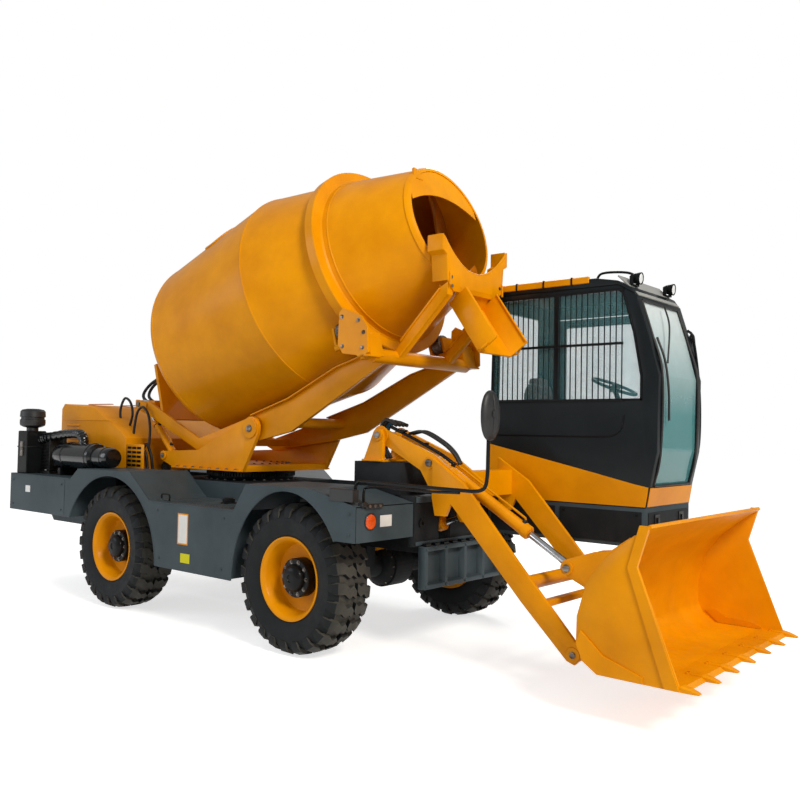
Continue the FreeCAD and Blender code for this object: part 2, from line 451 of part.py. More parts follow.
def cylinder(label, base, eye, ys, barrel, stem):
    """Barrel and rod nodes between two pins in a plane along X and Z, one pair for each y.

    base and eye are (x, z) formulas; barrel is (diameter, length); stem is (diameter, length kept inside)."""
    span = "sqrt((%s - %s)^2 + (%s - %s)^2)" % (eye[0], base[0], eye[1], base[1])
    turn = "atan2(%s - %s; %s - %s)" % (base[1], eye[1], eye[0], base[0])
    barrels = []
    rods = []
    for i, y in enumerate(ys):
        key = "%s_%d" % (label, i)
        tube = fuse(key + "_tube", [
            rod(key + "_ring", "2 * EyeRadius", "EyeWidth", ("0", "-EyeWidth / 2", "0"), "y", True),
            rod(key + "_body", barrel[0], barrel[1], ("EyeRadius / 2", "0", "0"), "x", True)])
        inside = [rod(key + "_bore", "%s - 2 * BarrelWall" % barrel[0], "%s - EyeRadius - BarrelWall" % barrel[1],
                      ("EyeRadius + BarrelWall", "0", "0"), "x", True),
                  rod(key + "_gland", "%s + 2 * RodGap" % stem[0], barrel[1], ("EyeRadius + BarrelWall", "0", "0"), "x", True),
                  rod(key + "_pin_bore", "PivotPin + PinGap", "2 * EyeWidth", ("0", "-EyeWidth", "0"), "y", True)]
        barrels.append(cut(key + "_barrel", tube, inside))
        stem_start = "%s + EyeRadius / 2 - %s" % (barrel[1], stem[1])
        shaft = fuse(key + "_shaft", [
            rod(key + "_stem", stem[0], "%s - EyeRadius / 2 - (%s)" % (span, stem_start), (stem_start, "0", "0"), "x", True),
            rod(key + "_eye", "2 * EyeRadius", "EyeWidth", (span, "-EyeWidth / 2", "0"), "y", True)])
        rods.append(cut(key + "_rod", shaft, [rod(key + "_eye_bore", "PivotPin + PinGap", "2 * EyeWidth",
                                                  (span, "-EyeWidth", "0"), "y", True)]))
        for thing in (barrels[-1], rods[-1]):
            thing.Placement = FreeCAD.Placement(FreeCAD.Vector(), FreeCAD.Rotation(FreeCAD.Vector(0, 1, 0), 1))
            thing.setExpression("Placement.Rotation.Angle", expression(turn))
            place(thing, base[0], y, base[1])
    node(label + "_barrel", together(label + "_barrels", barrels) if len(ys) > 1 else barrels[0])
    node(label + "_rod", together(label + "_rods", rods) if len(ys) > 1 else rods[0])


def pin_ends(name, x, y, z):
    """The two ends of the pin at an open rod eye: each fills its ear and stands proud of it."""
    reach = "EyeWidth / 2 - EyeGap - EarPlate - PinHead"
    return [rod(name + "_end_0", "PivotPin", "EarPlate + PinHead", (x, "%s - %s" % (y, reach), z), "y"),
            rod(name + "_end_1", "PivotPin", "EarPlate + PinHead", (x, y + " + EyeWidth / 2 + EyeGap", z), "y")]


# ---- loader --------------------------------------------------------------------------------------------------

def loader():
    cheeks = []
    for side, y in (("near", "TowerNear"), ("far", "TowerFar - TowerCheek")):
        cheeks.append(side_plate("tower_" + side, [
            ("PivotX - 2.6 * PivotBoss", "TowerFoot"), ("PivotX + 0.8 * PivotBoss", "TowerFoot"),
            ("PivotX + 0.9 * PivotBoss", "PivotZ"), ("PivotX + 0.5 * PivotBoss", "PivotZ + 0.75 * PivotBoss"),
            ("PivotX - 0.5 * PivotBoss", "PivotZ + 0.75 * PivotBoss"), ("PivotX - PivotBoss", "PivotZ")],
            y, "TowerCheek"))
    pin = rod("tower_pin", "PivotPin", "TowerFar - TowerNear", ("PivotX", "TowerNear", "PivotZ"), "y")
    foot = box("tower_foot", ("3.8 * PivotBoss", "TowerFar - TowerNear", "TowerCheek / 2"),
               ("PivotX - 2.8 * PivotBoss", "TowerNear", "TowerFoot"))
    node("loader_tower", fuse("tower_solid", cheeks + [pin, foot]))

    root = [("PivotX", "PivotZ + PivotBoss"), ("JointX + 50", "JointZ + 60"), ("ElbowX - 20", "ElbowZ + 20"),
            ("ElbowX - 60", "BoxBottom"), ("BoxRear", "BoxBottom"), ("JointX - 90", "JointZ - 60"),
            ("PivotX", "PivotZ - PivotBoss")]
    arm = [("BoxRear", "JointZ + 35"), ("BoxRear", "BoxBottom"), ("BoxRear + 30", "LiftEyeZ + 20"),
           ("BoxRear + 130", "LiftEyeZ + 20"), ("ElbowX - 120", "ElbowZ - 150"), ("BucketPinX - 410", "BucketPinZ + 293"),
           ("BucketPinX - 48", "BucketPinZ - 48"), ("BucketPinX + 10", "BucketPinZ - 66"),
           ("BucketPinX + 66", "BucketPinZ - 10"), ("BucketPinX + 48", "BucketPinZ + 48"),
           ("BucketPinX - 414", "BucketPinZ + 534"), ("ElbowX", "ElbowZ")]
    pieces = []
    for side, y in (("near", "RootNear"), ("far", "RootFar - RootPlate")):
        pieces.append(side_plate("root_" + side, root, y, "RootPlate"))
        pieces.append(rod("root_boss_" + side, "2 * PivotBoss", "RootPlate", ("PivotX", y, "PivotZ"), "y"))
    pieces.append(side_plate("arm_near", arm, "RootNear - ArmPlate", "ArmPlate"))
    pieces.append(side_plate("arm_far", arm, "ArmFar - ArmPlate", "ArmPlate"))
    pieces.append(box("box_low", ("BoxLength", "ArmFar - RootNear", "BoxTop - BoxBottom"),
                      ("BoxRear", "RootNear", "BoxBottom")))
    pieces.append(box("box_high", ("BoxLength", "ArmFar - RootFar", "JointZ - 65 - BoxTop"),
                      ("BoxRear", "RootFar", "BoxTop")))
    pieces.append(rod("joint_pin", "PivotPin", "RootFar - RootNear", ("JointX", "RootNear", "JointZ"), "y"))
    pieces.append(rod("cross_tube", "CrossTubeDia", "ArmFar - RootNear", ("CrossTubeX", "RootNear", "CrossTubeZ"), "y"))
    pieces.append(box("cross_bar", ("60", "ArmFar - RootNear", "40"), ("CrossBarX", "RootNear", "CrossBarZ")))
    for i, y in enumerate(("LiftY - EyeWidth / 2 - EyeGap - EarPlate", "LiftY + EyeWidth / 2 + EyeGap")):
        pieces.append(side_plate("lift_ear_%d" % i, [
            ("BoxRear", "BoxTop"), ("BoxRear", "LiftEyeZ"), ("LiftEyeX - 25", "LiftEyeZ - 50"),
            ("LiftEyeX + 30", "LiftEyeZ - 50"), ("BoxRear + BoxLength", "BoxBottom"),
            ("BoxRear + BoxLength", "BoxTop")], y, "EarPlate"))
    pieces += pin_ends("lift_eye", "LiftEyeX", "LiftY", "LiftEyeZ")
    bores = [rod("pivot_bore", "PivotPin + PinGap", "ArmFar - RootNear", ("PivotX", "RootNear - 1", "PivotZ"), "y"),
             rod("bucket_pin_bore", "BucketPinDia + PinGap", "ArmFar - RootNear + 4 * ArmPlate",
                 ("BucketPinX", "RootNear - 2 * ArmPlate", "BucketPinZ"), "y")]
    node("loader_boom", cut("boom_solid", fuse("boom_blank", pieces), bores))

    cylinder("lift", ("LiftBaseX", "LiftBaseZ"), ("LiftEyeX", "LiftEyeZ"), ("LiftY",),
             ("LiftBarrelDia", "LiftBarrelLength"), ("LiftRodDia", "LiftRodInside"))
    cylinder("bucket_cylinder", ("JointX", "JointZ"), ("EarPinX", "EarPinZ"), ("CylinderY",),
             ("BarrelDia", "BarrelLength"), ("RodDia", "RodInside"))


def bucket():
    """Side profile: cutting edge, floor, rounded heel, back and top lip."""
    outer = [("BucketEdgeX", "BucketFloor"), ("BucketHeelX", "BucketFloor"), ("BucketHeelX - 100", "BucketFloor + 65"),
             ("BucketHeelX - 145", "BucketFloor + 160"), ("BucketHeelX - 140", "BucketFloor + 330"),
             ("BucketHeelX - 80", "BucketFloor + 540"), ("BucketHeelX + 45", "BucketFloor + 700"),
             ("BucketHeelX + 190", "BucketFloor + 820"), ("BucketLipX", "BucketLipZ")]
    inner = [("BucketEdgeX", "BucketFloor + BucketWall"), ("BucketHeelX + 8", "BucketFloor + BucketWall"),
             ("BucketHeelX - 88", "BucketFloor + 78"), ("BucketHeelX - 129", "BucketFloor + 165"),
             ("BucketHeelX - 124", "BucketFloor + 325"), ("BucketHeelX - 66", "BucketFloor + 531"),
             ("BucketHeelX + 54", "BucketFloor + 687"), ("BucketHeelX + 197", "BucketFloor + 806"),
             ("BucketLipX + 8", "BucketLipZ - BucketWall")]
    skin = side_plate("bucket_skin", outer + inner[::-1], "-BucketHalf", "2 * BucketHalf")
    side = outer + [("BucketLipX - 80", "BucketLipZ - 250")]
    sides = [side_plate("bucket_side_" + name, side, y, "BucketWall")
             for name, y in (("right", "-BucketHalf"), ("left", "BucketHalf - BucketWall"))]
    ears = []
    arm_ear = [("BucketPinX - 55", "BucketPinZ - 20"), ("BucketPinX", "BucketPinZ - 60"),
               ("BucketHeelX - 100", "BucketFloor + 65"), ("BucketHeelX - 145", "BucketFloor + 160"),
               ("BucketHeelX - 140", "BucketFloor + 330"), ("BucketPinX - 20", "BucketPinZ + 60"),
               ("BucketPinX - 50", "BucketPinZ + 30")]
    for name, y in (("near", "RootNear + EarGap"), ("far", "ArmFar - ArmPlate - EarGap - EarPlate")):
        ears.append(side_plate("arm_ear_" + name, arm_ear, y, "EarPlate"))
    for name, y in (("near", "RootNear - ArmPlate"), ("far", "ArmFar - ArmPlate - EarGap - EarPlate")):
        ears.append(rod("bucket_pin_" + name, "BucketPinDia", "ArmPlate + EarPlate + EarGap",
                        ("BucketPinX", y, "BucketPinZ"), "y"))
    tilt_ear = [("EarPinX - 55", "EarPinZ - 15"), ("EarPinX", "EarPinZ - 55"), ("BucketHeelX - 140", "BucketFloor + 330"),
                ("BucketHeelX - 80", "BucketFloor + 540"), ("BucketHeelX + 45", "BucketFloor + 700"),
                ("EarPinX + 200", "EarPinZ + 130"), ("EarPinX - 30", "EarPinZ + 50")]
    for name, y in (("near", "CylinderY - EyeWidth / 2 - EyeGap - EarPlate"), ("far", "CylinderY + EyeWidth / 2 + EyeGap")):
        ears.append(side_plate("tilt_ear_" + name, tilt_ear, y, "EarPlate"))
    ears += pin_ends("tilt_ear", "EarPinX", "CylinderY", "EarPinZ")
    node("bucket", fuse("bucket_solid", [skin] + sides + ears))
    pitch = "(2 * BucketHalf - ToothWidth) / (TeethCount - 1)"
    tooth = [("BucketEdgeX", "BucketFloor"), ("BucketEdgeX + ToothReach", "BucketFloor"),
             ("BucketEdgeX + ToothReach", "BucketFloor + 8"), ("BucketEdgeX", "BucketFloor + ToothThick")]
    edge = [("BucketEdgeX", "BucketFloor"), ("BucketEdgeX + 25", "BucketFloor"),
            ("BucketEdgeX + 25", "BucketFloor + 12"), ("BucketEdgeX", "BucketFloor + BucketWall")]
    teeth = [side_plate("edge", edge, "-BucketHalf", "2 * BucketHalf")]
    teeth += [side_plate("tooth_%d" % i, tooth, "%d * %s - BucketHalf" % (i, pitch), "ToothWidth")
              for i in range(int(sheet.TeethCount))]
    node("bucket_teeth", fuse("bucket_teeth_solid", teeth))


# ---- drum carriage -------------------------------------------------------------------------------------------

def carriage():
    base = flat_plate("base_plate", [("BaseRear", "-BaseHalf"), ("BaseFront", "-BaseHalf"),
                                     ("BaseFront", "BaseHalf"), ("BaseRear", "BaseHalf")], "BaseBottom", "BasePlate")
    cheek = [("BaseRear", "BaseBottom"), ("BaseFront", "BaseBottom"), ("CheekPinX + 0.95 * CheekRadius", "CheekPinZ - 50"),
             ("CheekPinX - 0.6 * CheekRadius", "CheekPinZ + 90"), ("BaseRear + 400", "BaseBottom + 190"),
             ("BaseEyeX - 50", "BaseEyeZ + 40"), ("BaseEyeX - 50", "BaseEyeZ - 40")]
    pieces = [base]
    for side, y in (("right", "-CheekY"), ("left", "CheekY - CheekPlate")):
        pieces.append(side_plate("cheek_" + side, cheek, y, "CheekPlate"))
        pieces.append(rod("cheek_boss_" + side, "2 * CheekRadius", "CheekPlate", ("CheekPinX", y, "CheekPinZ"), "y"))
    for side, y in (("right", "-CheekY"), ("left", "BaseHalf - CheekPlate")):
        pieces.append(box("cheek_foot_" + side, ("BaseFront - BaseRear", "CheekY - BaseHalf + CheekPlate", "BasePlate"),
                          ("BaseRear", y, "BaseBottom")))
        pieces.append(rod("cheek_pin_" + side, "PivotPin", "CheekY - FrameY + FramePlate",
                          ("CheekPinX", "-CheekY" if side == "right" else "FrameY - FramePlate", "CheekPinZ"), "y"))
        start = "-CheekY" if side == "right" else "TiltY - EyeWidth / 2 - EyeGap - EarPlate"
        pieces.append(rod("base_eye_pin_" + side, "PivotPin", "CheekY - TiltY + EyeWidth / 2 + EyeGap + EarPlate",
                          ("BaseEyeX", start, "BaseEyeZ"), "y"))
        ear_y = ("TiltY - EyeWidth / 2 - EyeGap - EarPlate" if side == "left"
                 else "-TiltY + EyeWidth / 2 + EyeGap")
        pieces.append(side_plate("base_ear_" + side, [("BaseRear + 60", "BaseBottom"), ("BaseRear + 60", "BaseEyeZ + 50"),
                                                      ("BaseEyeX - 45", "BaseEyeZ + 40"), ("BaseEyeX - 45", "BaseEyeZ - 40"),
                                                      ("BaseRear - 60", "BaseBottom")], ear_y, "EarPlate"))
    node("slew_base", fuse("slew_base_solid", pieces))
    cylinder("drum_tilt", ("BaseEyeX", "BaseEyeZ"), ("FrameEyeX", "FrameEyeZ"), ("-TiltY", "TiltY"),
             ("TiltBarrelDia", "TiltBarrelLength"), ("TiltRodDia", "TiltRodInside"))

    side = [("FrameEyeX - 60", "FrameEyeZ - 45"), ("FrameEyeX - 60", "FrameEyeZ + 50"), ("FrameEyeX + 190", "FrameEyeZ + 20"),
            ("CheekPinX - 850", "CheekPinZ - 110"), ("CheekPinX - 30", "CheekPinZ + 115"),
            ("CheekPinX + 480", "CheekPinZ + 265"), ("CradleX - 500", "CradleZ - 80"), ("CradleX", "CradleZ + 60"),
            ("CradleX + 60", "CradleZ"), ("CradleX", "CradleZ - 60"), ("CradleX - 310", "CradleZ - 225"),
            ("CheekPinX + 500", "CheekPinZ - 20"), ("CheekPinX + 60", "CheekPinZ - 110"),
            ("CheekPinX - 850", "CheekPinZ - 230"), ("FrameEyeX + 190", "FrameEyeZ - 120")]
    pieces = []
    for name, y in (("right", "-FrameY"), ("left", "FrameY - FramePlate")):
        pieces.append(cut("frame_side_" + name, side_plate("frame_side_blank_" + name, side, y, "FramePlate"), [
            rod("frame_bore_" + name, "PivotPin + PinGap", "FramePlate", ("CheekPinX", y, "CheekPinZ"), "y")]))
    pieces.append(rod("frame_cross_tube", "2 * PivotPin", "2 * (FrameY - FramePlate)",
                      ("CheekPinX + 160", "FramePlate - FrameY", "CheekPinZ + 60"), "y"))
    pieces.append(rod("cradle_bar", "CradleDia", "2 * CradleHalf", ("CradleX", "-CradleHalf", "CradleZ"), "y"))
    pieces.append(box("frame_tail", ("120", "2 * (FrameY - FramePlate)", "80"),
                      ("FrameEyeX + 115", "FramePlate - FrameY", "FrameEyeZ - 40")))
    pieces.append(box("frame_middle", ("90", "2 * (FrameY - FramePlate)", "70"),
                      ("CheekPinX - 700", "FramePlate - FrameY", "CheekPinZ - 180")))
    for name, sign in (("right", "-1"), ("left", "1")):
        pieces += pin_ends("frame_eye_" + name, "FrameEyeX", sign + " * TiltY", "FrameEyeZ")
        pieces.append(side_plate("frame_ear_" + name, [("FrameEyeX - 45", "FrameEyeZ - 40"), ("FrameEyeX - 45", "FrameEyeZ + 45"),
                                                      ("FrameEyeX + 140", "FrameEyeZ + 20"), ("FrameEyeX + 140", "FrameEyeZ - 60")],
                                 "TiltY - EyeWidth / 2 - EyeGap - EarPlate" if name == "left"
                                 else "-TiltY + EyeWidth / 2 + EyeGap", "EarPlate"))
    for name, y in (("right", "-StrutY - StrutWide"), ("left", "StrutY")):
        pieces.append(side_plate("strut_" + name, [
            ("CradleX - 20", "CradleZ + 20"), ("HopperX - 90", "HopperLow + 20"), ("HopperX", "HopperLow + 70"),
            ("HopperX", "HopperLow - 30"), ("CradleX + 50", "CradleZ - 10")], y, "StrutWide"))
    shelf_z = "RollerZ - RollerDia / 2 - ShelfDrop"
    cheek_x = {"rear": "RingAt - RollerWidth / 2 - RollerSide - RollerCheek", "front": "RingAt + RollerWidth / 2 + RollerSide"}
    local = []
    for name, y in (("right", "-RollerY - RollerDia / 2"), ("left", "RollerY - RollerDia / 2")):
        local.append(box("shelf_" + name, ("ShelfLength", "RollerDia", "ShelfThick"),
                         (cheek_x["rear"], y, shelf_z), True))
        local.append(box("post_" + name, ("PostLength", "RollerDia - 20", "PostDrop"),
                         (cheek_x["rear"] + " + ShelfLength - PostLength",
                          ("-RollerY" if name == "right" else "RollerY") + " - RollerDia / 2 + 10",
                          shelf_z + " + ShelfThick / 2 - PostDrop"), True))
        for end in cheek_x:
            middle = "-RollerY" if name == "right" else "RollerY"
            local.append(box("roller_cheek_%s_%s" % (end, name), ("RollerCheek", "RollerDia - 20", "RollerDia / 2 + ShelfDrop + 45"),
                             (cheek_x[end], middle + " - RollerDia / 2 + 10", shelf_z), True))
        local.append(rod("roller_pin_" + name, "RollerPin", "RollerWidth + 2 * RollerSide + 2 * RollerCheek",
                         (cheek_x["rear"], "-RollerY" if name == "right" else "RollerY", "RollerZ"), "x", True))
    flange = box("gearbox_flange", ("FlangeThick", "2 * FrameY - FramePlate", "GearboxDia / 2 + FlangeDrop"),
                 ("-RearSeam - RearDome - GearboxGap - GearboxLength - FlangeThick", "FramePlate / 2 - FrameY",
                  "-GearboxDia / 2 - FlangeDrop"), True)
    motor_hole = rod("motor_hole", "MotorDia + 2 * HoodGap", "3 * FlangeThick",
                     ("-RearSeam - RearDome - GearboxGap - GearboxLength - 2 * FlangeThick", "0", "0"), "x", True)
    local.append(cut("gearbox_seat", flange, [motor_hole]))
    plates = fuse("frame_plates", pieces, False)
    node("drum_frame", fuse("drum_frame_solid", [plates, along_axis(fuse("axis_steel", local))], False))


def along_axis(thing):
    """Stand a thing, made along the drum's own X axis, on the pitched axis."""
    thing.Placement = FreeCAD.Placement(FreeCAD.Vector(), FreeCAD.Rotation(FreeCAD.Vector(0, 1, 0), -1))
    thing.setExpression("Placement.Rotation.Angle", expression("-DrumPitch * 1 deg"))
    return place(thing, "DrumX", "0", "DrumZ")


# ---- drum ----------------------------------------------------------------------------------------------------

def drum():
    tail = "-RearSeam - RearDome"
    outer = [(tail, "0"), (tail, "HeadRadius"), ("-RearSeam - 0.75 * RearDome", "HeadRadius + 0.5 * (RearRadius - HeadRadius)"),
             ("-RearSeam - 0.38 * RearDome", "HeadRadius + 0.82 * (RearRadius - HeadRadius)"), ("-RearSeam", "RearRadius"),
             ("0", "DrumRadius"), ("NeckAt", "NeckRadius"), ("MouthAt", "MouthRadius")]
    inner = [("MouthAt", "MouthRadius - DrumWall"), ("NeckAt", "NeckRadius - DrumWall"), ("0", "DrumRadius - DrumWall"),
             ("-RearSeam", "RearRadius - DrumWall"),
             ("-RearSeam - 0.38 * RearDome + 0.6 * DrumWall", "HeadRadius + 0.82 * (RearRadius - HeadRadius) - DrumWall"),
             ("-RearSeam - 0.75 * RearDome + 0.8 * DrumWall", "HeadRadius + 0.5 * (RearRadius - HeadRadius) - DrumWall"),
             (tail + " + DrumWall", "HeadRadius - DrumWall"), (tail + " + DrumWall", "0")]
    shell = turned("drum_skin", outer + inner)
    ring = turned("track_ring", [("RingAt - RingWidth / 2", "NeckRadius"), ("RingAt - RingWidth / 2", "TrackRadius"),
                                 ("RingAt + RingWidth / 2", "TrackRadius"), ("RingAt + RingWidth / 2", "NeckRadius")])
    node("drum_shell", along_axis(fuse("drum_shell_solid", [shell, ring])))
    box_end = tail + " - GearboxGap - GearboxLength"
    gear = [rod("gearbox_case", "GearboxDia", "GearboxLength", (box_end, "0", "0"), "x", True),
            rod("drum_motor", "MotorDia", "MotorLength", (box_end + " - MotorLength", "0", "0"), "x", True)]
    node("drum_gearbox", along_axis(fuse("gearbox_solid", gear)))
    for name, y in (("right", "-RollerY"), ("left", "RollerY")):
        wheel_body = rod("roller_wheel_" + name, "RollerDia", "RollerWidth", ("RingAt - RollerWidth / 2", y, "RollerZ"), "x", True)
        bore = rod("roller_bore_" + name, "RollerPin + PinGap", "2 * RollerWidth", ("RingAt - RollerWidth", y, "RollerZ"), "x", True)
        node(name + "_roller", along_axis(cut("roller_solid_" + name, wheel_body, [bore])))


def hopper():
    """The funnel plate under the drum's mouth and the chute that hangs from it."""
    body = doc.addObject("PartDesign::Body", "funnel_plate")
    pad = body.newObject("PartDesign::Pad", "funnel_pad")
    dip = [("%s * HopperHalf" % y, "HopperDip + %s^2 * (HopperTop - HopperDip)" % y)
           for y in ("0.8", "0.6", "0.4", "0.2", "0", "(-0.2)", "(-0.4)", "(-0.6)", "(-0.8)")]
    edge = [("HopperFoot", "HopperLow"), ("HopperNip", "HopperCorner"), ("HopperWaist", "HopperLedge"),
            ("HopperHalf", "HopperShoulder"), ("HopperHalf", "HopperTop")]
    pad.Profile = sketch_in(body, "YZ_Plane", [("-" + y, z) for y, z in edge[::-1]] + edge + dip)
    bind(pad, Length="HopperWall")
    place(body, "HopperX")
    pieces = [body]
    inner = [("HopperHalf - HopperWall", "HopperTop"), ("HopperHalf - HopperWall", "HopperShoulder + HopperWall"),
             ("HopperWaist - HopperWall", "HopperLedge + HopperWall"), ("HopperNip - HopperWall", "HopperCorner")]
    for side, sign in (("right", "-1"), ("left", "1")):
        wing = doc.addObject("PartDesign::Body", "funnel_wing_" + side)
        wing_pad = wing.newObject("PartDesign::Pad", "funnel_wing_pad_" + side)
        wing_pad.Profile = sketch_in(wing, "YZ_Plane", [("%s * (%s)" % (sign, y), z) for y, z in edge[1:] + inner])
        bind(wing_pad, Length="HopperWing")
        pieces.append(place(wing, "HopperX - HopperWing"))
    pieces.append(side_plate("funnel_floor", [("HopperX - HopperWing", "HopperCorner - 10"), ("HopperX - HopperWing", "HopperCorner - 26"),
                                              ("HopperX", "HopperLow"), ("HopperX", "HopperLow + HopperWall")],
                             "-HopperFoot", "2 * HopperFoot"))
    node("hopper", fuse("hopper_solid", pieces, False))
    slope = "atan2(ChuteDrop; ChuteReach)"
    run = "sqrt(ChuteReach^2 + ChuteDrop^2)"
    trough = cut("chute_solid",
                 box("chute_block", (run, "2 * ChuteHalf", "ChuteDepth"), ("0", "-ChuteHalf", "0"), True),
                 [box("chute_room", (run, "2 * (ChuteHalf - HopperWall)", "ChuteDepth"),
                      ("0", "HopperWall - ChuteHalf", "HopperWall"), True)])
    trough.Placement = FreeCAD.Placement(FreeCAD.Vector(), FreeCAD.Rotation(FreeCAD.Vector(0, 1, 0), 1))
    trough.setExpression("Placement.Rotation.Angle", expression(slope))
    place(trough, "HopperX + HopperWall - ChuteBack", "0", "HopperLow - ChuteBack * ChuteReach / ChuteDrop")
    node("chute", trough)


# ---- cab -----------------------------------------------------------------------------------------------------

def cab():
    wide = "CabLeft - CabRight"
    shell_top = "CabRoof - RoofThick"
    screen_rows = (("FootLean", "ScreenFoot"), ("ChestLean", "ScreenChest"), ("BrowLean", "ScreenBrow"),
                   ("HeadLean", "ScreenHead"), ("VisorLean", "VisorZ"))
    front = (("0", "CabFloor"),) + screen_rows + (("RoofLean", shell_top),)

    def front_edge(inset):
        return [("CabFront + %s - %s" % (x, inset), z) for x, z in front]

    def side_window(inset):
        """The right window's outline, drawn in by a gap; its front edge leans back with the pillar."""
        return [("SideRear + %s" % inset, "SillZ + %s" % inset), ("SideFront - %s" % inset, "SillZ + %s" % inset),
                ("SideFront - %s" % inset, "ScreenBrow"), ("SideFront - 60 - %s" % inset, "ScreenHead"),
                ("SideTopFront - %s" % inset, "SideTop - %s" % inset), ("SideRear + %s" % inset, "SideTop - %s" % inset)]

    base = box("cab_base_block", ("CabFront - CabRear", wide, "CabFloor - CabBaseBottom"),
               ("CabRear", "CabRight", "CabBaseBottom"))
    node("cab_base", base)
    outer = side_plate("cab_outer", [("CabRear", "CabFloor")] + front_edge("0") + [("CabRear + 30", shell_top)], "CabRight", wide)
    room = side_plate("cab_room", [("CabRear + CabWall", "CabFloor + CabWall"), ("CabFront - CabWall", "CabFloor + CabWall")]
                      + front_edge("CabWall")[1:] + [("CabFront + RoofLean - CabWall", "CabRoof"), ("CabRear + 30 + CabWall", "CabRoof")],
                      "CabRight + CabWall", wide + " - 2 * CabWall")
    openings = [
        box("screen_way", ("400", wide + " - 2 * PillarWidth", "ScreenTop - ScreenBottom"),
            ("CabFront - 150", "CabRight + PillarWidth", "ScreenBottom")),
        side_plate("side_way", side_window("0"), "CabRight - CabWall", "2 * CabWall"),
        box("rear_way", ("4 * CabWall", wide + " - 2 * PillarWidth", "ScreenTop - SillZ"),
            ("CabRear - CabWall", "CabRight + PillarWidth", "SillZ")),
        box("door_way", ("DoorFront - DoorRear", "2 * CabWall", "ScreenTop - CabFloor - CabWall"),
            ("DoorRear", "CabLeft - CabWall", "CabFloor + CabWall"))]
    node("cab_shell", cut("cab_shell_solid", outer, [room] + openings))
    roof = side_plate("roof_plate", [("CabRear + 30", shell_top), ("CabRear + 30", "CabRoof - 25"), ("CabRear + 70", "CabRoof"),
                                     ("CabFront - 440", "CabRoof"), ("CabFront - 250", "CabRoof - 35"),
                                     ("CabFront - 130", "CabRoof - 100"), ("CabFront + VisorLean", "VisorZ"),
                                     ("CabFront + RoofLean", shell_top)], "CabRight", wide)
    node("cab_roof", roof)
    blank = side_plate("screen_blank", [("CabFront + %s - %s" % (x, "GlassThick"), z) for x, z in screen_rows]
                       + [("CabFront + %s - 2 * GlassThick" % x, z) for x, z in screen_rows[::-1]],
                       "CabRight + PillarWidth + GlassGap", wide + " - 2 * PillarWidth - 2 * GlassGap")
    band = box("screen_band", ("600", wide, "ScreenTop - ScreenBottom - 2 * GlassGap"),
               ("CabFront - 300", "CabRight", "ScreenBottom + GlassGap"))
    screen = doc.addObject("Part::Common", "windscreen_solid")
    screen.Base = blank
    screen.Tool = band
    node("windscreen", screen)
    node("side_glass", side_plate("side_pane", side_window("GlassGap"), "CabRight + GlassThick", "GlassThick"))
    node("rear_glass", box("rear_pane", ("GlassThick", wide + " - 2 * PillarWidth - 2 * GlassGap", "ScreenTop - SillZ - 2 * GlassGap"),
                           ("CabRear + GlassThick + 30", "CabRight + PillarWidth + GlassGap", "SillZ + GlassGap")))
    leaf = box("door_leaf", ("DoorFront - DoorRear - 2 * DoorGap", "CabWall", "ScreenTop - CabFloor - CabWall - 2 * DoorGap"),
               ("DoorRear + DoorGap", "CabLeft - CabWall", "CabFloor + CabWall + DoorGap"))
    light = box("door_light", ("DoorFront - DoorRear - 2 * DoorGap - 2 * PillarWidth", "3 * CabWall", "ScreenTop - DoorSill - PillarWidth - DoorGap"),
                ("DoorRear + DoorGap + PillarWidth", "CabLeft - 2 * CabWall", "DoorSill"))
    node("cab_door", cut("door_solid", leaf, [light]))
    node("door_glass", box("door_pane", ("DoorFront - DoorRear - 2 * DoorGap - 2 * PillarWidth", "GlassThick",
                                         "ScreenTop - DoorSill - PillarWidth - DoorGap"),
                           ("DoorRear + DoorGap + PillarWidth", "CabLeft - CabWall / 2", "DoorSill")))
    bars = [box("guard_rail_%d" % i, ("SideTopFront - SideRear + 2 * GuardBarDia", "GuardBarDia", "2 * GuardBarDia"),
                ("SideRear - GuardBarDia", "CabRight - GuardBarDia", z))
            for i, z in enumerate(("SillZ - 2 * GuardBarDia", "(SillZ + SideTop) / 2", "SideTop"))]
    count = int(sheet.GuardBars)
    bars += [rod("guard_bar_%d" % i, "GuardBarDia", "SideTop - SillZ + 2 * GuardBarDia",
                 ("SideRear + %d * (SideTopFront - SideRear) / %d" % (i, count - 1), "CabRight - GuardBarDia / 2",
                  "SillZ - GuardBarDia")) for i in range(count)]
    node("window_guard", fuse("window_guard_solid", bars))
    middle = "(CabRight + CabLeft) / 2"
    floor = "CabFloor + CabWall"
    node("seat", fuse("seat_solid", [
        box("seat_stand", ("SeatWidth - 160", "SeatWidth - 160", "SeatZ - 130 - %s" % floor.replace(" + ", " - ")),
            ("SeatX - SeatWidth / 2 + 80", middle + " - SeatWidth / 2 + 80", floor)),
        box("seat_cushion", ("SeatWidth", "SeatWidth", "130"), ("SeatX - SeatWidth / 2", middle + " - SeatWidth / 2", "SeatZ - 130")),
        box("seat_back", ("110", "SeatWidth - 40", "620"), ("SeatX - SeatWidth / 2", middle + " - SeatWidth / 2 + 20", "SeatZ - 20"))]))
    node("console", fuse("console_solid", [
        box("dash_post", ("140", "240", "DashZ - %s" % floor.replace(" + ", " - ")), ("DashX", middle + " - 120", floor)),
        box("dash_head", ("220", "420", "130"), ("DashX - 40", middle + " - 210", "DashZ - 20"))]))
    column = rod("wheel_column", "40", "220", ("DashX - 60", middle, "DashZ + 40"))
    ring = doc.addObject("Part::Torus", "wheel_ring")
    bind(ring, Radius1="SteerDia / 2", Radius2="SteerRim / 2")
    place(ring, "DashX - 60", middle, "DashZ + 250")
    spoke = box("wheel_spoke", ("40", "SteerDia", "14"), ("DashX - 80", middle + " - SteerDia / 2", "DashZ + 243"))
    node("steering_wheel", fuse("steering_wheel_solid", [column, ring, spoke]))


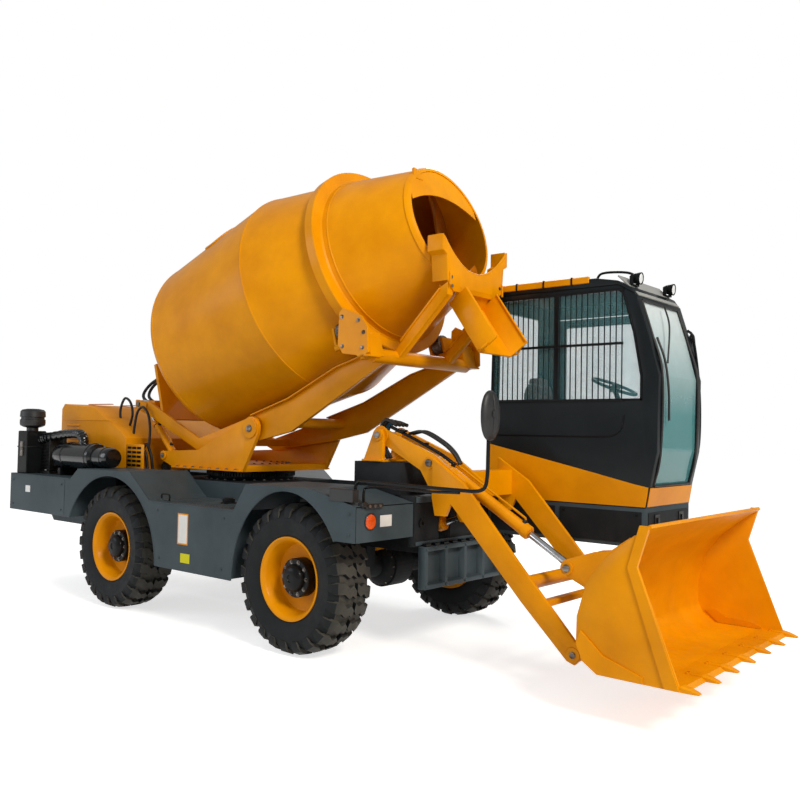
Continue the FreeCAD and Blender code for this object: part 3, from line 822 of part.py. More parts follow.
def mirrors_and_lamps():
    node("right_mirror", fuse("right_mirror_solid", [
        rod("mirror_post", "MirrorTube", "MirrorArmZ - GuardTop + MirrorTube / 2", ("MirrorPostX", "MirrorY", "GuardTop")),
        rod("mirror_arm", "MirrorTube", "MirrorX - MirrorPostX + MirrorTube / 2", ("MirrorPostX", "MirrorY", "MirrorArmZ"), "x"),
        rod("mirror_riser", "MirrorTube", "MirrorZ - MirrorArmZ", ("MirrorX", "MirrorY", "MirrorArmZ")),
        box("mirror_head", ("MirrorDepth", "MirrorWidth", "MirrorHeight"),
            ("MirrorX + MirrorTube / 2 - 5", "MirrorY - MirrorWidth / 2", "MirrorZ - MirrorHeight / 2"))]))
    node("left_mirror", fuse("left_mirror_solid", [
        rod("left_bar", "MirrorTube", "LeftMirrorY - CabLeft", ("LeftMirrorX", "CabLeft", "LeftMirrorZ"), "y"),
        box("left_head", ("MirrorDepth", "MirrorDepth + 30", "MirrorHeight"),
            ("LeftMirrorX - MirrorDepth / 2", "LeftMirrorY - 30", "LeftMirrorZ - MirrorHeight / 2"))]))
    lamps = [box("roof_lamp_%d" % i, ("LampSize", "LampSize", "LampSize"), ("CabFront - 200", y, "CabRoof - 62"))
             for i, y in enumerate(("CabRight + 60", "CabLeft - 60 - LampSize"))]
    lamps += [rod("marker_lamp_%d" % i, "MarkerDia", "12", ("GuardFront", y, "MarkerZ"), "x")
              for i, y in enumerate(("-MarkerY",))]
    node("lamps", together("lamp_set", lamps))


chassis()
slew_ring()
side_guards()
front_rack()
for axle_name, axle_x in (("front", "0"), ("rear", "-Wheelbase")):
    axle(axle_name + "_axle", axle_x)
    for side_name, side_sign in (("right", -1), ("left", 1)):
        wheel(axle_name + "_" + side_name, axle_x, side_sign)
engine_bay()
loader()
bucket()
carriage()
drum()
hopper()
cab()
mirrors_and_lamps()
doc.recompute()

faults = [thing.Name for thing in doc.Objects if "Invalid" in thing.State or "Error" in thing.State]
faults += [thing.Label for thing in SUB_PARTS if thing.Shape.isNull() or not thing.Shape.isValid()]
if faults:
    raise RuntimeError("these objects failed: " + ", ".join(faults))
for thing in SUB_PARTS:
    thing.Shape.exportStep("parts/" + thing.Label + ".step")
print(len(SUB_PARTS), "sub-parts written")
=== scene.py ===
import bmesh
import bpy
import json
import math
import numpy as np
from mathutils import Matrix, Vector


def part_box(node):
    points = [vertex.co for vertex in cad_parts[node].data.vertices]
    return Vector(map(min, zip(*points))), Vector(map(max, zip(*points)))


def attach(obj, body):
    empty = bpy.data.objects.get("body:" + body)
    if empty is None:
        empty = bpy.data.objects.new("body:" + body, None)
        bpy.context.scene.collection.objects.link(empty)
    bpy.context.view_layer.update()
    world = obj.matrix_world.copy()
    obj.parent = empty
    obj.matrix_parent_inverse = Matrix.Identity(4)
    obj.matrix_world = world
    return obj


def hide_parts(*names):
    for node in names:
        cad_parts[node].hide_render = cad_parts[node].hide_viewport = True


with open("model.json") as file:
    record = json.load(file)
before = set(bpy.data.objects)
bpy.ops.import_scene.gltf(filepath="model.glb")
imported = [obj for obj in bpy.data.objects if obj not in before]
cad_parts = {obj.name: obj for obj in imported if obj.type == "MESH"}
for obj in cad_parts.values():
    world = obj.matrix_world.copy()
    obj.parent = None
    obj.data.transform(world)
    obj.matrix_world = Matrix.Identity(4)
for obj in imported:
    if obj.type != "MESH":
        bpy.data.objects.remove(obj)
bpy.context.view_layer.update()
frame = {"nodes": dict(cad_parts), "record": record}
nodes = frame["nodes"]
print("frame loaded:", len(nodes), "nodes")

scene = bpy.context.scene
scene.view_settings.view_transform = "Standard"


# colours and nodes
def linearColour(hexText):
    # sRGB hex to linear light
    parts = [int(hexText[i:i + 2], 16) / 255 for i in (1, 3, 5)]
    return [p / 12.92 if p <= 0.04045 else ((p + 0.055) / 1.055) ** 2.4 for p in parts] + [1.0]


def addNode(tree, kind, inputs=None, stops=(), **settings):
    # one node with its settings and links: a node or socket given as an input is linked, a hex text is a
    # colour
    node = tree.nodes.new(kind)
    for key, value in settings.items():
        setattr(node, key, value)
    for key, value in (inputs or {}).items():
        if isinstance(value, bpy.types.Node):
            value = value.outputs[0]
        if isinstance(value, bpy.types.NodeSocket):
            tree.links.new(value, node.inputs[key])
        else:
            node.inputs[key].default_value = linearColour(value) if isinstance(value, str) else value
    for number, (place, tone) in enumerate(stops):
        ramp = node.color_ramp.elements
        element = ramp[number] if number < len(ramp) else ramp.new(place)
        element.position = place
        element.color = linearColour(tone) if isinstance(tone, str) else (tone, tone, tone, 1)
    return node


def newMaterial(name, **uniform):
    # uniform values go straight onto the shader's own sockets
    material = bpy.data.materials.new(name)
    material.use_nodes = True
    tree = material.node_tree
    shader = tree.nodes["Principled BSDF"]
    for key, value in uniform.items():
        shader.inputs[key.replace("_", " ")].default_value = value
    place = addNode(tree, "ShaderNodeTexCoord").outputs["Object"]
    return material, tree, shader, place


def finishWith(tree, shader, **sockets):
    # wires worked-out colour, roughness, alpha and bump into the shader
    for key, value in sockets.items():
        socket = value.outputs[0] if isinstance(value, bpy.types.Node) else value
        tree.links.new(socket, shader.inputs[key.replace("_", " ")])


paints = {
    # colour, the same in shade, dust, gloss, clear film, peel depth, dust share, dust reach (m), rubbed edge
    "machineEnamel": dict(main="#E99800", deep="#D48500", dust="#A9854A", rough=0.36, coat=0.04, peel=0.1,
                          dustAmount=0.14, dustTop=1.2, wear="#7A5A33"),
    "signEnamel": dict(main="#DDD816", deep="#CFC70E", dust="#A9854A", rough=0.36, coat=0.04, peel=0.1,
                       dustAmount=0.14, dustTop=1.2, wear="#7A5A33"),
    "drumEnamel": dict(main="#EA9A00", deep="#D58600", dust="#B58A45", rough=0.33, coat=0.05, peel=0.05,
                       dustAmount=0.07, dustTop=5.0, wear="#8A6A40"),
    "platingPaint": dict(main="#434F55", deep="#374247", dust="#66645E", rough=0.46, coat=0.06, peel=0.16,
                         dustAmount=0.14, dustTop=1.5, wear="#8E8E8C"),
    "cabPaint": dict(main="#181E21", deep="#12171A", dust="#4B4945", rough=0.36, coat=0.16, peel=0.1,
                     dustAmount=0.08, dustTop=2.2, wear="#5E5E5E"),
    "roofGrey": dict(main="#9A9B98", deep="#8A8B89", dust="#B0AA9C", rough=0.5, coat=0.05, peel=0.2,
                     dustAmount=0.2, dustTop=3.5, wear="#C0C0BE"),
    "chassisPaint": dict(main="#24272A", deep="#1B1E20", dust="#5A554C", rough=0.55, coat=0.0, peel=0.3,
                         dustAmount=0.35, dustTop=1.2, wear="#5E5B57"),
    "blackPaint": dict(main="#121416", deep="#0C0E0F", dust="#4A4741", rough=0.42, coat=0.1, peel=0.2,
                       dustAmount=0.16, dustTop=2.0, wear="#4E4E4E"),
    "lampGrey": dict(main="#17191B", deep="#101214", dust="#4C4943", rough=0.5, coat=0.0, peel=0.3,
                     dustAmount=0.12, dustTop=3.0, wear="#424242"),
    "plateWhite": dict(main="#E9E9E6", deep="#DCDCD8", dust="#B9B3A4", rough=0.38, coat=0.1, peel=0.08,
                       dustAmount=0.25, dustTop=2.0, wear="#9A9A98"),
    "innerEnamel": dict(main="#C87405", deep="#9A5705", dust="#8B7F6C", rough=0.55, coat=0.0, peel=0.3,
                        dustAmount=0.85, dustTop=9.0, wear="#6E6557"),
}


def sprayedPaint(name, main, deep, dust, rough, coat, peel, dustAmount, dustTop, wear):
    # two-pack enamel sprayed on welded plate: orange peel of 3 to 4 mm, cloudy film, dust low down, rubbed
    # edges
    material, tree, shader, place = newMaterial(name, Coat_Weight=coat, Coat_Roughness=0.15,
        Specular_IOR_Level=0.1)
    cloud = addNode(tree, "ShaderNodeTexNoise",
                    {"Vector": place, "Scale": 2.2, "Detail": 5.0, "Roughness": 0.6})
    peelNoise = addNode(tree, "ShaderNodeTexNoise", {"Vector": place, "Scale": 260.0, "Detail": 2.0})
    dustNoise = addNode(tree, "ShaderNodeTexNoise",
                        {"Vector": place, "Scale": 9.0, "Detail": 8.0, "Roughness": 0.7})
    streakPlace = addNode(tree, "ShaderNodeMapping", {"Vector": place, "Scale": (14.0, 14.0, 1.2)})
    streaks = addNode(tree, "ShaderNodeTexNoise", {"Vector": streakPlace, "Scale": 1.0, "Detail": 6.0})
    high = addNode(tree, "ShaderNodeSeparateXYZ", {"Vector": place}).outputs["Z"]
    low = addNode(tree, "ShaderNodeMapRange",
                  {"Value": high, "From Min": 0.2, "From Max": dustTop, "To Min": 1.0, "To Max": 0.12})
    film = addNode(tree, "ShaderNodeValToRGB", {"Fac": cloud}, [(0.3, deep), (0.68, main)])
    patches = addNode(tree, "ShaderNodeMath", {0: dustNoise, 1: streaks}, operation="MULTIPLY")
    dusty = addNode(tree, "ShaderNodeValToRGB", {"Fac": patches}, [(0.22, 0.0), (0.5, 1.0)])
    share = addNode(tree, "ShaderNodeMath", {0: dusty, 1: low}, operation="MULTIPLY")
    share = addNode(tree, "ShaderNodeMath", {0: share, 1: dustAmount}, operation="MULTIPLY")
    coloured = addNode(tree, "ShaderNodeMix", {0: share, 6: film, 7: dust}, data_type="RGBA").outputs[2]
    edge = addNode(tree, "ShaderNodeNewGeometry").outputs["Pointiness"]
    edgeRub = addNode(tree, "ShaderNodeValToRGB", {"Fac": edge}, [(0.53, 0.0), (0.62, 1.0)])
    edgeRub = addNode(tree, "ShaderNodeMath", {0: edgeRub, 1: dustNoise}, operation="MULTIPLY")
    edgeRub = addNode(tree, "ShaderNodeValToRGB", {"Fac": edgeRub}, [(0.45, 0.0), (0.7, 0.16)])
    coloured = addNode(tree, "ShaderNodeMix", {0: edgeRub, 6: coloured, 7: wear}, data_type="RGBA").outputs[2]
    roughNow = addNode(tree, "ShaderNodeMapRange",
                       {"Value": share, "To Min": rough, "To Max": min(1.0, rough + 0.45)})
    bump = addNode(tree, "ShaderNodeBump", {"Height": peelNoise, "Strength": peel, "Distance": 0.001})
    finishWith(tree, shader, Base_Color=coloured, Roughness=roughNow, Normal=bump)
    return material


def tyreRubber():
    # moulded carbon-black rubber: matt, fine mould grain, dried mud film in clouds a hand wide, painted light
    # on the tread
    material, tree, shader, place = newMaterial("tyreRubber", Specular_IOR_Level=0.2)
    grain = addNode(tree, "ShaderNodeTexNoise", {"Vector": place, "Scale": 320.0, "Detail": 3.0})
    cloud = addNode(tree, "ShaderNodeTexNoise",
                    {"Vector": place, "Scale": 12.0, "Detail": 7.0, "Roughness": 0.65})
    tone = addNode(tree, "ShaderNodeValToRGB", {"Fac": cloud},
                   [(0.35, "#111416"), (0.6, "#191C1E"), (0.78, "#292825")])
    # painted light: the tread, whose faces look along the wheel's plane, not along its axle, is drawn lighter
    # than the sidewalls, as though lit from the front
    facing = addNode(tree, "ShaderNodeSeparateXYZ",
                     {"Vector": addNode(tree, "ShaderNodeTexCoord").outputs["Normal"]}).outputs["Y"]
    facing = addNode(tree, "ShaderNodeMath", {0: facing}, operation="ABSOLUTE")
    tread = addNode(tree, "ShaderNodeMapRange",
                    {"Value": facing, "From Min": 0.25, "From Max": 0.6, "To Min": 0.85, "To Max": 0.0})
    tone = addNode(tree, "ShaderNodeMix", {0: tread, 6: tone, 7: "#484640"}, data_type="RGBA").outputs[2]
    rough = addNode(tree, "ShaderNodeValToRGB", {"Fac": cloud}, [(0.3, 0.52), (0.75, 0.85)])
    bump = addNode(tree, "ShaderNodeBump", {"Height": grain, "Strength": 0.35, "Distance": 0.002})
    finishWith(tree, shader, Base_Color=tone, Roughness=rough, Normal=bump)
    return material


def chromedRod():
    # ground and hard-chromed steel: bright, a light oil film, fine grinding marks drawn 5 mm wide so they
    # show
    material, tree, shader, place = newMaterial("chromedRod", Metallic=1.0)
    rings = addNode(tree, "ShaderNodeTexNoise", {"Vector": place, "Scale": 180.0, "Detail": 2.0})
    film = addNode(tree, "ShaderNodeTexNoise", {"Vector": place, "Scale": 14.0, "Detail": 5.0})
    tone = addNode(tree, "ShaderNodeValToRGB", {"Fac": film}, [(0.4, "#C9CCD0"), (0.75, "#A9A79F")])
    rough = addNode(tree, "ShaderNodeValToRGB", {"Fac": film}, [(0.35, 0.12), (0.8, 0.3)])
    bump = addNode(tree, "ShaderNodeBump", {"Height": rings, "Strength": 0.06, "Distance": 0.0005})
    finishWith(tree, shader, Base_Color=tone, Roughness=rough, Normal=bump)
    return material


def bareMetal(name, light, dark, rough, metallic=0.9):
    # worn bare steel: rolled plate rubbed by stone, brown film between bright scratches about 15 mm apart
    material, tree, shader, place = newMaterial(name, Metallic=metallic)
    scratch = addNode(tree, "ShaderNodeMapping", {"Vector": place, "Scale": (4.0, 60.0, 60.0)})
    lines = addNode(tree, "ShaderNodeTexNoise", {"Vector": scratch, "Scale": 3.0, "Detail": 6.0})
    cloud = addNode(tree, "ShaderNodeTexNoise", {"Vector": place, "Scale": 18.0, "Detail": 7.0})
    both = addNode(tree, "ShaderNodeMath", {0: lines, 1: cloud}, operation="MULTIPLY")
    tone = addNode(tree, "ShaderNodeValToRGB", {"Fac": both}, [(0.15, dark), (0.35, light)])
    gloss = addNode(tree, "ShaderNodeValToRGB", {"Fac": both}, [(0.15, rough + 0.25), (0.4, rough)])
    bump = addNode(tree, "ShaderNodeBump", {"Height": lines, "Strength": 0.15, "Distance": 0.001})
    finishWith(tree, shader, Base_Color=tone, Roughness=gloss, Normal=bump)
    return material


def mouldedPlastic(name, main, light, rough, grainScale=900.0):
    # injection-moulded ABS or polypropylene: spark-eroded grain of about 1 mm and a little dust
    material, tree, shader, place = newMaterial(name)
    grain = addNode(tree, "ShaderNodeTexVoronoi", {"Vector": place, "Scale": grainScale})
    cloud = addNode(tree, "ShaderNodeTexNoise", {"Vector": place, "Scale": 15.0, "Detail": 6.0})
    tone = addNode(tree, "ShaderNodeValToRGB", {"Fac": cloud}, [(0.35, main), (0.75, light)])
    gloss = addNode(tree, "ShaderNodeValToRGB", {"Fac": cloud}, [(0.3, rough), (0.8, min(1.0, rough + 0.2))])
    bump = addNode(tree, "ShaderNodeBump", {"Height": grain, "Strength": 0.2, "Distance": 0.0006})
    finishWith(tree, shader, Base_Color=tone, Roughness=gloss, Normal=bump)
    return material


def safetyGlass(name, low, high, cover):
    # float glass with a green tint: clear through the middle, a thin uneven film of dust; its colour, laid
    # partly opaque over the glass and paler towards its top, is a painted reflection
    material, tree, shader, place = newMaterial(name, Specular_IOR_Level=0.8)
    film = addNode(tree, "ShaderNodeTexNoise",
                   {"Vector": place, "Scale": 6.0, "Detail": 8.0, "Roughness": 0.7})
    height = addNode(tree, "ShaderNodeSeparateXYZ", {"Vector": place}).outputs["Z"]
    # painted reflection: the glass's colour grows paler from 1.9 m up to 2.75 m
    lift = addNode(tree, "ShaderNodeMapRange", {"Value": height, "From Min": 1.9, "From Max": 2.75})
    tone = addNode(tree, "ShaderNodeMix", {0: lift, 6: low, 7: high}, data_type="RGBA").outputs[2]
    gloss = addNode(tree, "ShaderNodeValToRGB", {"Fac": film}, [(0.4, 0.02), (0.8, 0.07)])
    # the cover draws the pale colour partly opaque as a painted reflection; the noise in it is the film of
    # dust
    seen = addNode(tree, "ShaderNodeValToRGB", {"Fac": film}, [(0.35, cover), (0.8, cover + 0.08)])
    finishWith(tree, shader, Base_Color=tone, Roughness=gloss, Alpha=seen)
    material.surface_render_method = "BLENDED"
    return material


def wovenCloth():
    # woven polyester seat cloth: 3 mm threads drawn 6 mm wide so they show, slightly fuzzy
    material, tree, shader, place = newMaterial("wovenCloth", Roughness=0.9, Sheen_Weight=0.3)
    warp = addNode(tree, "ShaderNodeTexWave", {"Vector": place, "Scale": 160.0, "Distortion": 0.6},
                   bands_direction="X")
    weft = addNode(tree, "ShaderNodeTexWave", {"Vector": place, "Scale": 160.0, "Distortion": 0.6},
                   bands_direction="Y")
    weave = addNode(tree, "ShaderNodeMath", {0: warp, 1: weft}, operation="MULTIPLY")
    tone = addNode(tree, "ShaderNodeValToRGB", {"Fac": weave}, [(0.1, "#4A2418"), (0.7, "#7A4130")])
    bump = addNode(tree, "ShaderNodeBump", {"Height": weave, "Strength": 0.4, "Distance": 0.001})
    finishWith(tree, shader, Base_Color=tone, Normal=bump)
    return material


finishes = {name: sprayedPaint(name, **settings) for name, settings in paints.items()}
finishes["tyreRubber"] = tyreRubber()
finishes["chromedRod"] = chromedRod()
finishes["wornSteel"] = bareMetal("wornSteel", "#8C8984", "#4A4139", 0.38)
finishes["castIron"] = bareMetal("castIron", "#4A4C4B", "#2B2A28", 0.5)
finishes["mouldedBlack"] = mouldedPlastic("mouldedBlack", "#101113", "#1D1F20", 0.42)
finishes["glossBlack"] = sprayedPaint("glossBlack", main="#0E1214", deep="#090C0E", dust="#3E3D39",
    rough=0.16, coat=0.7, peel=0.04, dustAmount=0.08, dustTop=2.0, wear="#3A3A3A")
finishes["hoseRubber"] = mouldedPlastic("hoseRubber", "#0D0E0F", "#1B1B1A", 0.5, 1400.0)
# side and front glass hold a painted reflection: pale cyan, palest at the top
finishes["sideGlass"] = safetyGlass("sideGlass", "#62A9B2", "#8FD2DA", 0.16)
finishes["frontGlass"] = safetyGlass("frontGlass", "#5C9FA3", "#F2FDFF", 0.54)
finishes["wovenCloth"] = wovenCloth()
finishes["blueSleeve"] = mouldedPlastic("blueSleeve", "#1F6E9C", "#3C8DB8", 0.45)
finishes["mirrorSilver"] = bareMetal("mirrorSilver", "#DDE3E6", "#C3CBD0", 0.02, 1.0)
finishes["orangeLens"] = mouldedPlastic("orangeLens", "#D8420A", "#EE6418", 0.15, 260.0)
finishes["clearLens"] = mouldedPlastic("clearLens", "#D8DCDE", "#F2F4F5", 0.08, 260.0)
print("materials made:", len(finishes))


# meshes
def turn(count):
    # the angles of a full turn in even steps
    return np.linspace(0, 2 * math.pi, count, endpoint=False)


def makePiece(name, points, faces, body, finish, slot="", smooth=True, bevel=0.0, replaces=()):
    # one finished object at the origin, with its place in its mesh
    mesh = bpy.data.meshes.new(name)
    faces = faces.tolist() if isinstance(faces, np.ndarray) else faces
    mesh.from_pydata(np.asarray(points, float).reshape(-1, 3).tolist(), [], faces)
    mesh.validate()
    mesh.polygons.foreach_set("use_smooth", np.full(len(mesh.polygons), smooth))
    mesh.materials.append(finishes[finish])
    mesh.update()
    piece = bpy.data.objects.new(name, mesh)
    scene.collection.objects.link(piece)
    if bevel:
        addBevel(piece, bevel)
    if smooth and not bevel:
        mesh.set_sharp_from_angle(angle=math.radians(38))
    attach(piece, body)
    if replaces:
        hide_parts(*replaces)
    return piece


def addBevel(piece, width):
    bevel = piece.modifiers.new("Bevel", "BEVEL")
    bevel.width = width
    bevel.segments = 2
    bevel.limit_method = "ANGLE"
    bevel.angle_limit = math.radians(34)
    bevel.harden_normals = True


def gridFaces(rows, columns, closeRows=False, closeColumns=False):
    # quads between neighbouring rows and columns of a grid of points
    i = np.arange(rows if closeRows else rows - 1)[:, None]
    j = np.arange(columns if closeColumns else columns - 1)[None, :]
    a, b = (i % rows) * columns, ((i + 1) % rows) * columns
    c, d = j % columns, (j + 1) % columns
    return np.stack([a + c, a + d, b + d, b + c], axis=-1).reshape(-1, 4)


def axisFrame(direction):
    # two unit vectors square to a direction
    z = np.asarray(direction, float) / np.linalg.norm(direction)
    side = np.cross(z, [0.0, 0.0, 1.0]) if abs(z[2]) < 0.9 else np.cross(z, [0.0, 1.0, 0.0])
    side /= np.linalg.norm(side)
    return z, side, np.cross(z, side)


def lathePoints(profile, origin, direction, segments=96):
    # point(i, t) = origin + along(i) * axis + radius(i) * (cos t * side + sin t * up)
    profile = np.asarray(profile, float)
    z, side, up = axisFrame(direction)
    t = turn(segments)
    ring = np.cos(t)[:, None] * side + np.sin(t)[:, None] * up
    return np.asarray(origin, float) + profile[:, None, 0:1] * z + profile[:, None, 1:2] * ring[None]


def lathe(name, profile, origin, direction, body, finish, segments=96, **more):
    points = lathePoints(profile, origin, direction, segments)
    faces = gridFaces(len(profile), segments, closeColumns=True)
    return makePiece(name, points, faces, body, finish, **more)


def joinShapes(shapes):
    # several (points, faces) as one list of points and faces
    allPoints, allFaces, start = [], [], 0
    for points, faces in shapes:
        points = np.asarray(points, float).reshape(-1, 3)
        allPoints.append(points)
        allFaces += [[int(i) + start for i in face] for face in faces]
        start += len(points)
    return np.concatenate(allPoints), allFaces


def boltShape():
    # hexagon head on a round washer, built up along Z: corners, radius and height of each ring
    points = []
    rings = [(12, 0.018, 0.0), (12, 0.018, 0.003), (6, 0.012, 0.003), (6, 0.012, 0.01), (6, 0.00984, 0.0115)]
    for corners, radius, height in rings:
        t = turn(corners)
        points.append(np.column_stack([radius * np.cos(t), radius * np.sin(t), np.full(corners, height)]))
    faces = [[i, (i + 1) % 12, 12 + (i + 1) % 12, 12 + i] for i in range(12)] + [list(range(12, 24))]
    for start in (24, 30):
        faces += [[start + i, start + (i + 1) % 6, start + 6 + (i + 1) % 6, start + 6 + i] for i in range(6)]
    return np.concatenate(points), faces + [list(range(36, 42))]


def bolts(name, origins, direction, body, finish="wornSteel", size=1.0, **more):
    # the bolt's own Z turned to a direction, one at each origin
    points, faces = boltShape()
    z, side, up = axisFrame(direction)
    origins = np.asarray(origins, float).reshape(-1, 3)
    moved = points * size @ np.stack([side, up, z]) + origins[:, None]
    allFaces = [[v + k * len(points) for v in face] for k in range(len(origins)) for face in faces]
    return makePiece(name, moved.reshape(-1, 3), allFaces, body, finish, smooth=False, **more)


def circlePoints(centre, direction, radius, count):
    z, side, up = axisFrame(direction)
    t = turn(count)
    return np.asarray(centre) + radius * (np.cos(t)[:, None] * side + np.sin(t)[:, None] * up)


def tubePoints(path, radius, around=14):
    # a round section carried along a path; each section stands square to the path
    path = np.asarray(path, float)
    tangent = np.gradient(path, axis=0)
    tangent /= np.linalg.norm(tangent, axis=1)[:, None]
    lean = np.array([0.31, 0.17, 0.93])
    side = np.cross(tangent, lean)
    side /= np.linalg.norm(side, axis=1)[:, None]
    up = np.cross(tangent, side)
    t = turn(around)
    ring = np.cos(t)[None, :, None] * side[:, None] + np.sin(t)[None, :, None] * up[:, None]
    radius = np.broadcast_to(np.asarray(radius, float), (len(path),))
    return path[:, None] + radius[:, None, None] * ring


def closedTube(path, radius, around=14):
    points = tubePoints(path, radius, around)
    faces = gridFaces(len(path), around, closeColumns=True)[:, ::-1].tolist()
    n = len(path) * around
    faces += [list(range(around)), list(range(n - 1, n - around - 1, -1))]
    return points.reshape(-1, 3), faces


def smoothPath(corners, count=40):
    # centripetal curve through the corners, worked out at even steps (Catmull-Rom in matrix form)
    p = np.asarray(corners, float)
    p = np.concatenate([[2 * p[0] - p[1]], p, [2 * p[-1] - p[-2]]])
    u = np.linspace(0, len(corners) - 1, count)
    k = np.minimum(u.astype(int), len(corners) - 2)
    f = (u - k)[:, None]
    a, b, c, d = p[k], p[k + 1], p[k + 2], p[k + 3]
    square, cube = 2 * a - 5 * b + 4 * c - d, 3 * b - a - 3 * c + d
    return 0.5 * (2 * b + (c - a) * f + square * f ** 2 + cube * f ** 3)


def tube(name, corners, radius, body, finish="hoseRubber", count=40, around=14, **more):
    path = smoothPath(np.add(corners, at(0, 0, 0)), count)
    return makePiece(name, *closedTube(path, radius, around), body, finish, **more)


def prism(outline, low, high, axis="y"):
    # an outline in two directions drawn out along the third between low and high
    outline = np.asarray(outline, float)
    order = {"x": (0, 1, 2), "y": (1, 0, 2), "z": (2, 0, 1)}[axis]
    points = np.zeros((2, len(outline), 3))
    points[0, :, order[0]], points[1, :, order[0]] = low, high
    points[:, :, order[1]] = outline[:, 0]
    points[:, :, order[2]] = outline[:, 1]
    n = len(outline)
    faces = [[i, (i + 1) % n, n + (i + 1) % n, n + i] for i in range(n)] + [list(range(n - 1, -1, -1)),
        list(range(n, 2 * n))]
    area = np.sum(outline[:, 0] * np.roll(outline[:, 1], -1) - np.roll(outline[:, 0], -1) * outline[:, 1])
    flip = (area < 0) != (axis == "y")
    return points.reshape(-1, 3), [face[::-1] for face in faces] if flip else faces


def plates(name, shapes, body, finish, bevel=0.003, **more):
    return makePiece(name, *joinShapes(shapes), body, finish, bevel=bevel, **more)


frontAxleX = 0.675      # the front axle's place; machine places below are counted from it
rearAxleX = -2.515
slewX = -1.88           # the turntable's axis
sides = (("right", -1.0), ("left", 1.0))
# pins of the carriage and the loader, in x and z
pins = dict(cheek=(-1.24, 1.745), tiltFoot=(-2.6, 1.456), tiltEye=(-3.15, 1.985), tower=(0.38, 1.71),
            ramFoot=(0.88, 1.505), ramEye=(2.035, 0.83), bucket=(2.14, 0.28), liftFoot=(-0.16, 0.7),
            liftEye=(0.985, 1.09))


def at(x, y, z):
    return (x + frontAxleX, y, z)


def onPlane(y, corners):
    # corners in x and z, all at one y
    return [(x, y, z) for x, z in corners]


def block(one, other):
    # a box between two opposite corners
    (x0, y0, z0), (x1, y1, z1) = np.sort([at(*one), at(*other)], axis=0)
    return prism([(x0, y0), (x1, y0), (x1, y1), (x0, y1)], z0, z1, "z")


def sheet(outline, one, other):
    # a flat cut-out square to Y, its outline in x and z, between two places along Y
    return prism(np.add(outline, (frontAxleX, 0.0)), min(one, other), max(one, other))


# finishes of the carried-over nodes
nodeFinish = {"yellow_paint": "machineEnamel", "grey_paint": "platingPaint", "cab_paint": "cabPaint",
              "dark_steel": "chassisPaint", "black_steel": "blackPaint", "cast_engine": "castIron",
              "rod_chrome": "chromedRod", "tyre": "tyreRubber", "glass": "sideGlass",
              "seat_cloth": "wovenCloth", "black_plastic": "mouldedBlack", "lamp_plastic": "clearLens"}
slotOf = {entry["node"]: entry["material_slot"] for entry in frame["record"]["subparts"]}
ownFinish = {"windscreen": "frontGlass", "lamps": "lampGrey", "drum_shell": "drumEnamel"}
softEdge = {"glass": 0.0, "rod_chrome": 0.0015, "grey_paint": 0.006, "cab_paint": 0.012,
            "yellow_paint": 0.004}
for nodeName, node in nodes.items():
    finish = finishes[ownFinish.get(nodeName, nodeFinish[slotOf[nodeName]])]
    node.data.materials.clear()
    node.data.materials.append(finish)
    width = softEdge.get(slotOf[nodeName], 0.003)
    if width:
        weld = node.modifiers.new("Weld", "WELD")
        weld.merge_threshold = 0.0002
        addBevel(node, width)
        node.data.polygons.foreach_set("use_smooth", np.ones(len(node.data.polygons), bool))
print("carried-over nodes finished")


# wheels
wheelSpec = dict(radius=0.585, width=0.4, bead=0.318, lugs=24, lugDepth=0.034, rimRadius=0.325, rimWidth=0.33,
                 tyreSegments=88, rimSegments=72, studs=10, studCircle=0.128, capBolts=6, capCircle=0.052)


def wheelPlace(corner):
    low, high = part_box(corner + "_tyre")
    return np.array((low + high) / 2), (-1.0 if "right" in corner else 1.0)


def tyreProfile(spec):
    # (across, radius) from the inner bead over the tread to the outer bead, closed along the bead seat
    r, w, d = spec["radius"] - spec["lugDepth"], spec["width"] / 2 - 0.006, spec["bead"]
    half = [(0.135, d - 0.012), (0.152, d), (0.163, d + 0.02), (0.176, d + 0.045), (w - 0.012, d + 0.08),
            (w - 0.002, d + 0.125), (w, d + 0.15), (w - 0.004, r - 0.075), (w - 0.018, r - 0.035),
            (w - 0.045, r - 0.008), (w - 0.1, r), (0.0, r + 0.002)]
    outer = np.array(half)
    inner = outer[::-1][1:] * [-1, 1]
    return np.concatenate([outer, inner])


def lugShapes(spec):
    # each block is a section carried from the tread's middle over the shoulder; stations give
    # across, base radius, top radius, place round the tyre and half width
    r, d = spec["radius"], spec["lugDepth"]
    stations = np.array([(0.004, r - d - 0.006, r - 0.001, 0.066, 0.036),
                         (0.04, r - d - 0.006, r - 0.001, 0.03, 0.044),
                         (0.078, r - d - 0.007, r - 0.002, 0.048, 0.046),
                         (0.12, r - d - 0.01, r - 0.006, 0.008, 0.05),
                         (0.176, r - d - 0.022, r - 0.03, 0.006, 0.05),
                         (0.1965, r - 0.078, r - 0.066, 0.006, 0.044),
                         (0.1975, r - 0.125, r - 0.112, 0.006, 0.034)])
    across, base, top, centre, half = stations.T
    corner = np.array([(-1.0, 0.0), (-0.86, 1.0), (0.86, 1.0), (1.0, 0.0)])
    around = centre[:, None] + half[:, None] * corner[None, :, 0]
    radius = base[:, None] + (top - base)[:, None] * corner[None, :, 1]
    y = np.broadcast_to(across[:, None], around.shape).copy()
    y[5:, 1:3] += 0.001
    y[5:, (0, 3)] -= 0.016
    radius[5:, 1:3] = top[5:, None]
    radius[5:, (0, 3)] = top[5:, None]
    count = len(stations)
    faces = gridFaces(count, 4).tolist() + [[3, 2, 1, 0], [4 * count - 4 + i for i in range(4)]]
    faces += [[4 * i + 3, 4 * i, 4 * i + 4, 4 * i + 7] for i in range(count - 1)]
    return y.ravel(), radius.ravel(), around.ravel(), faces


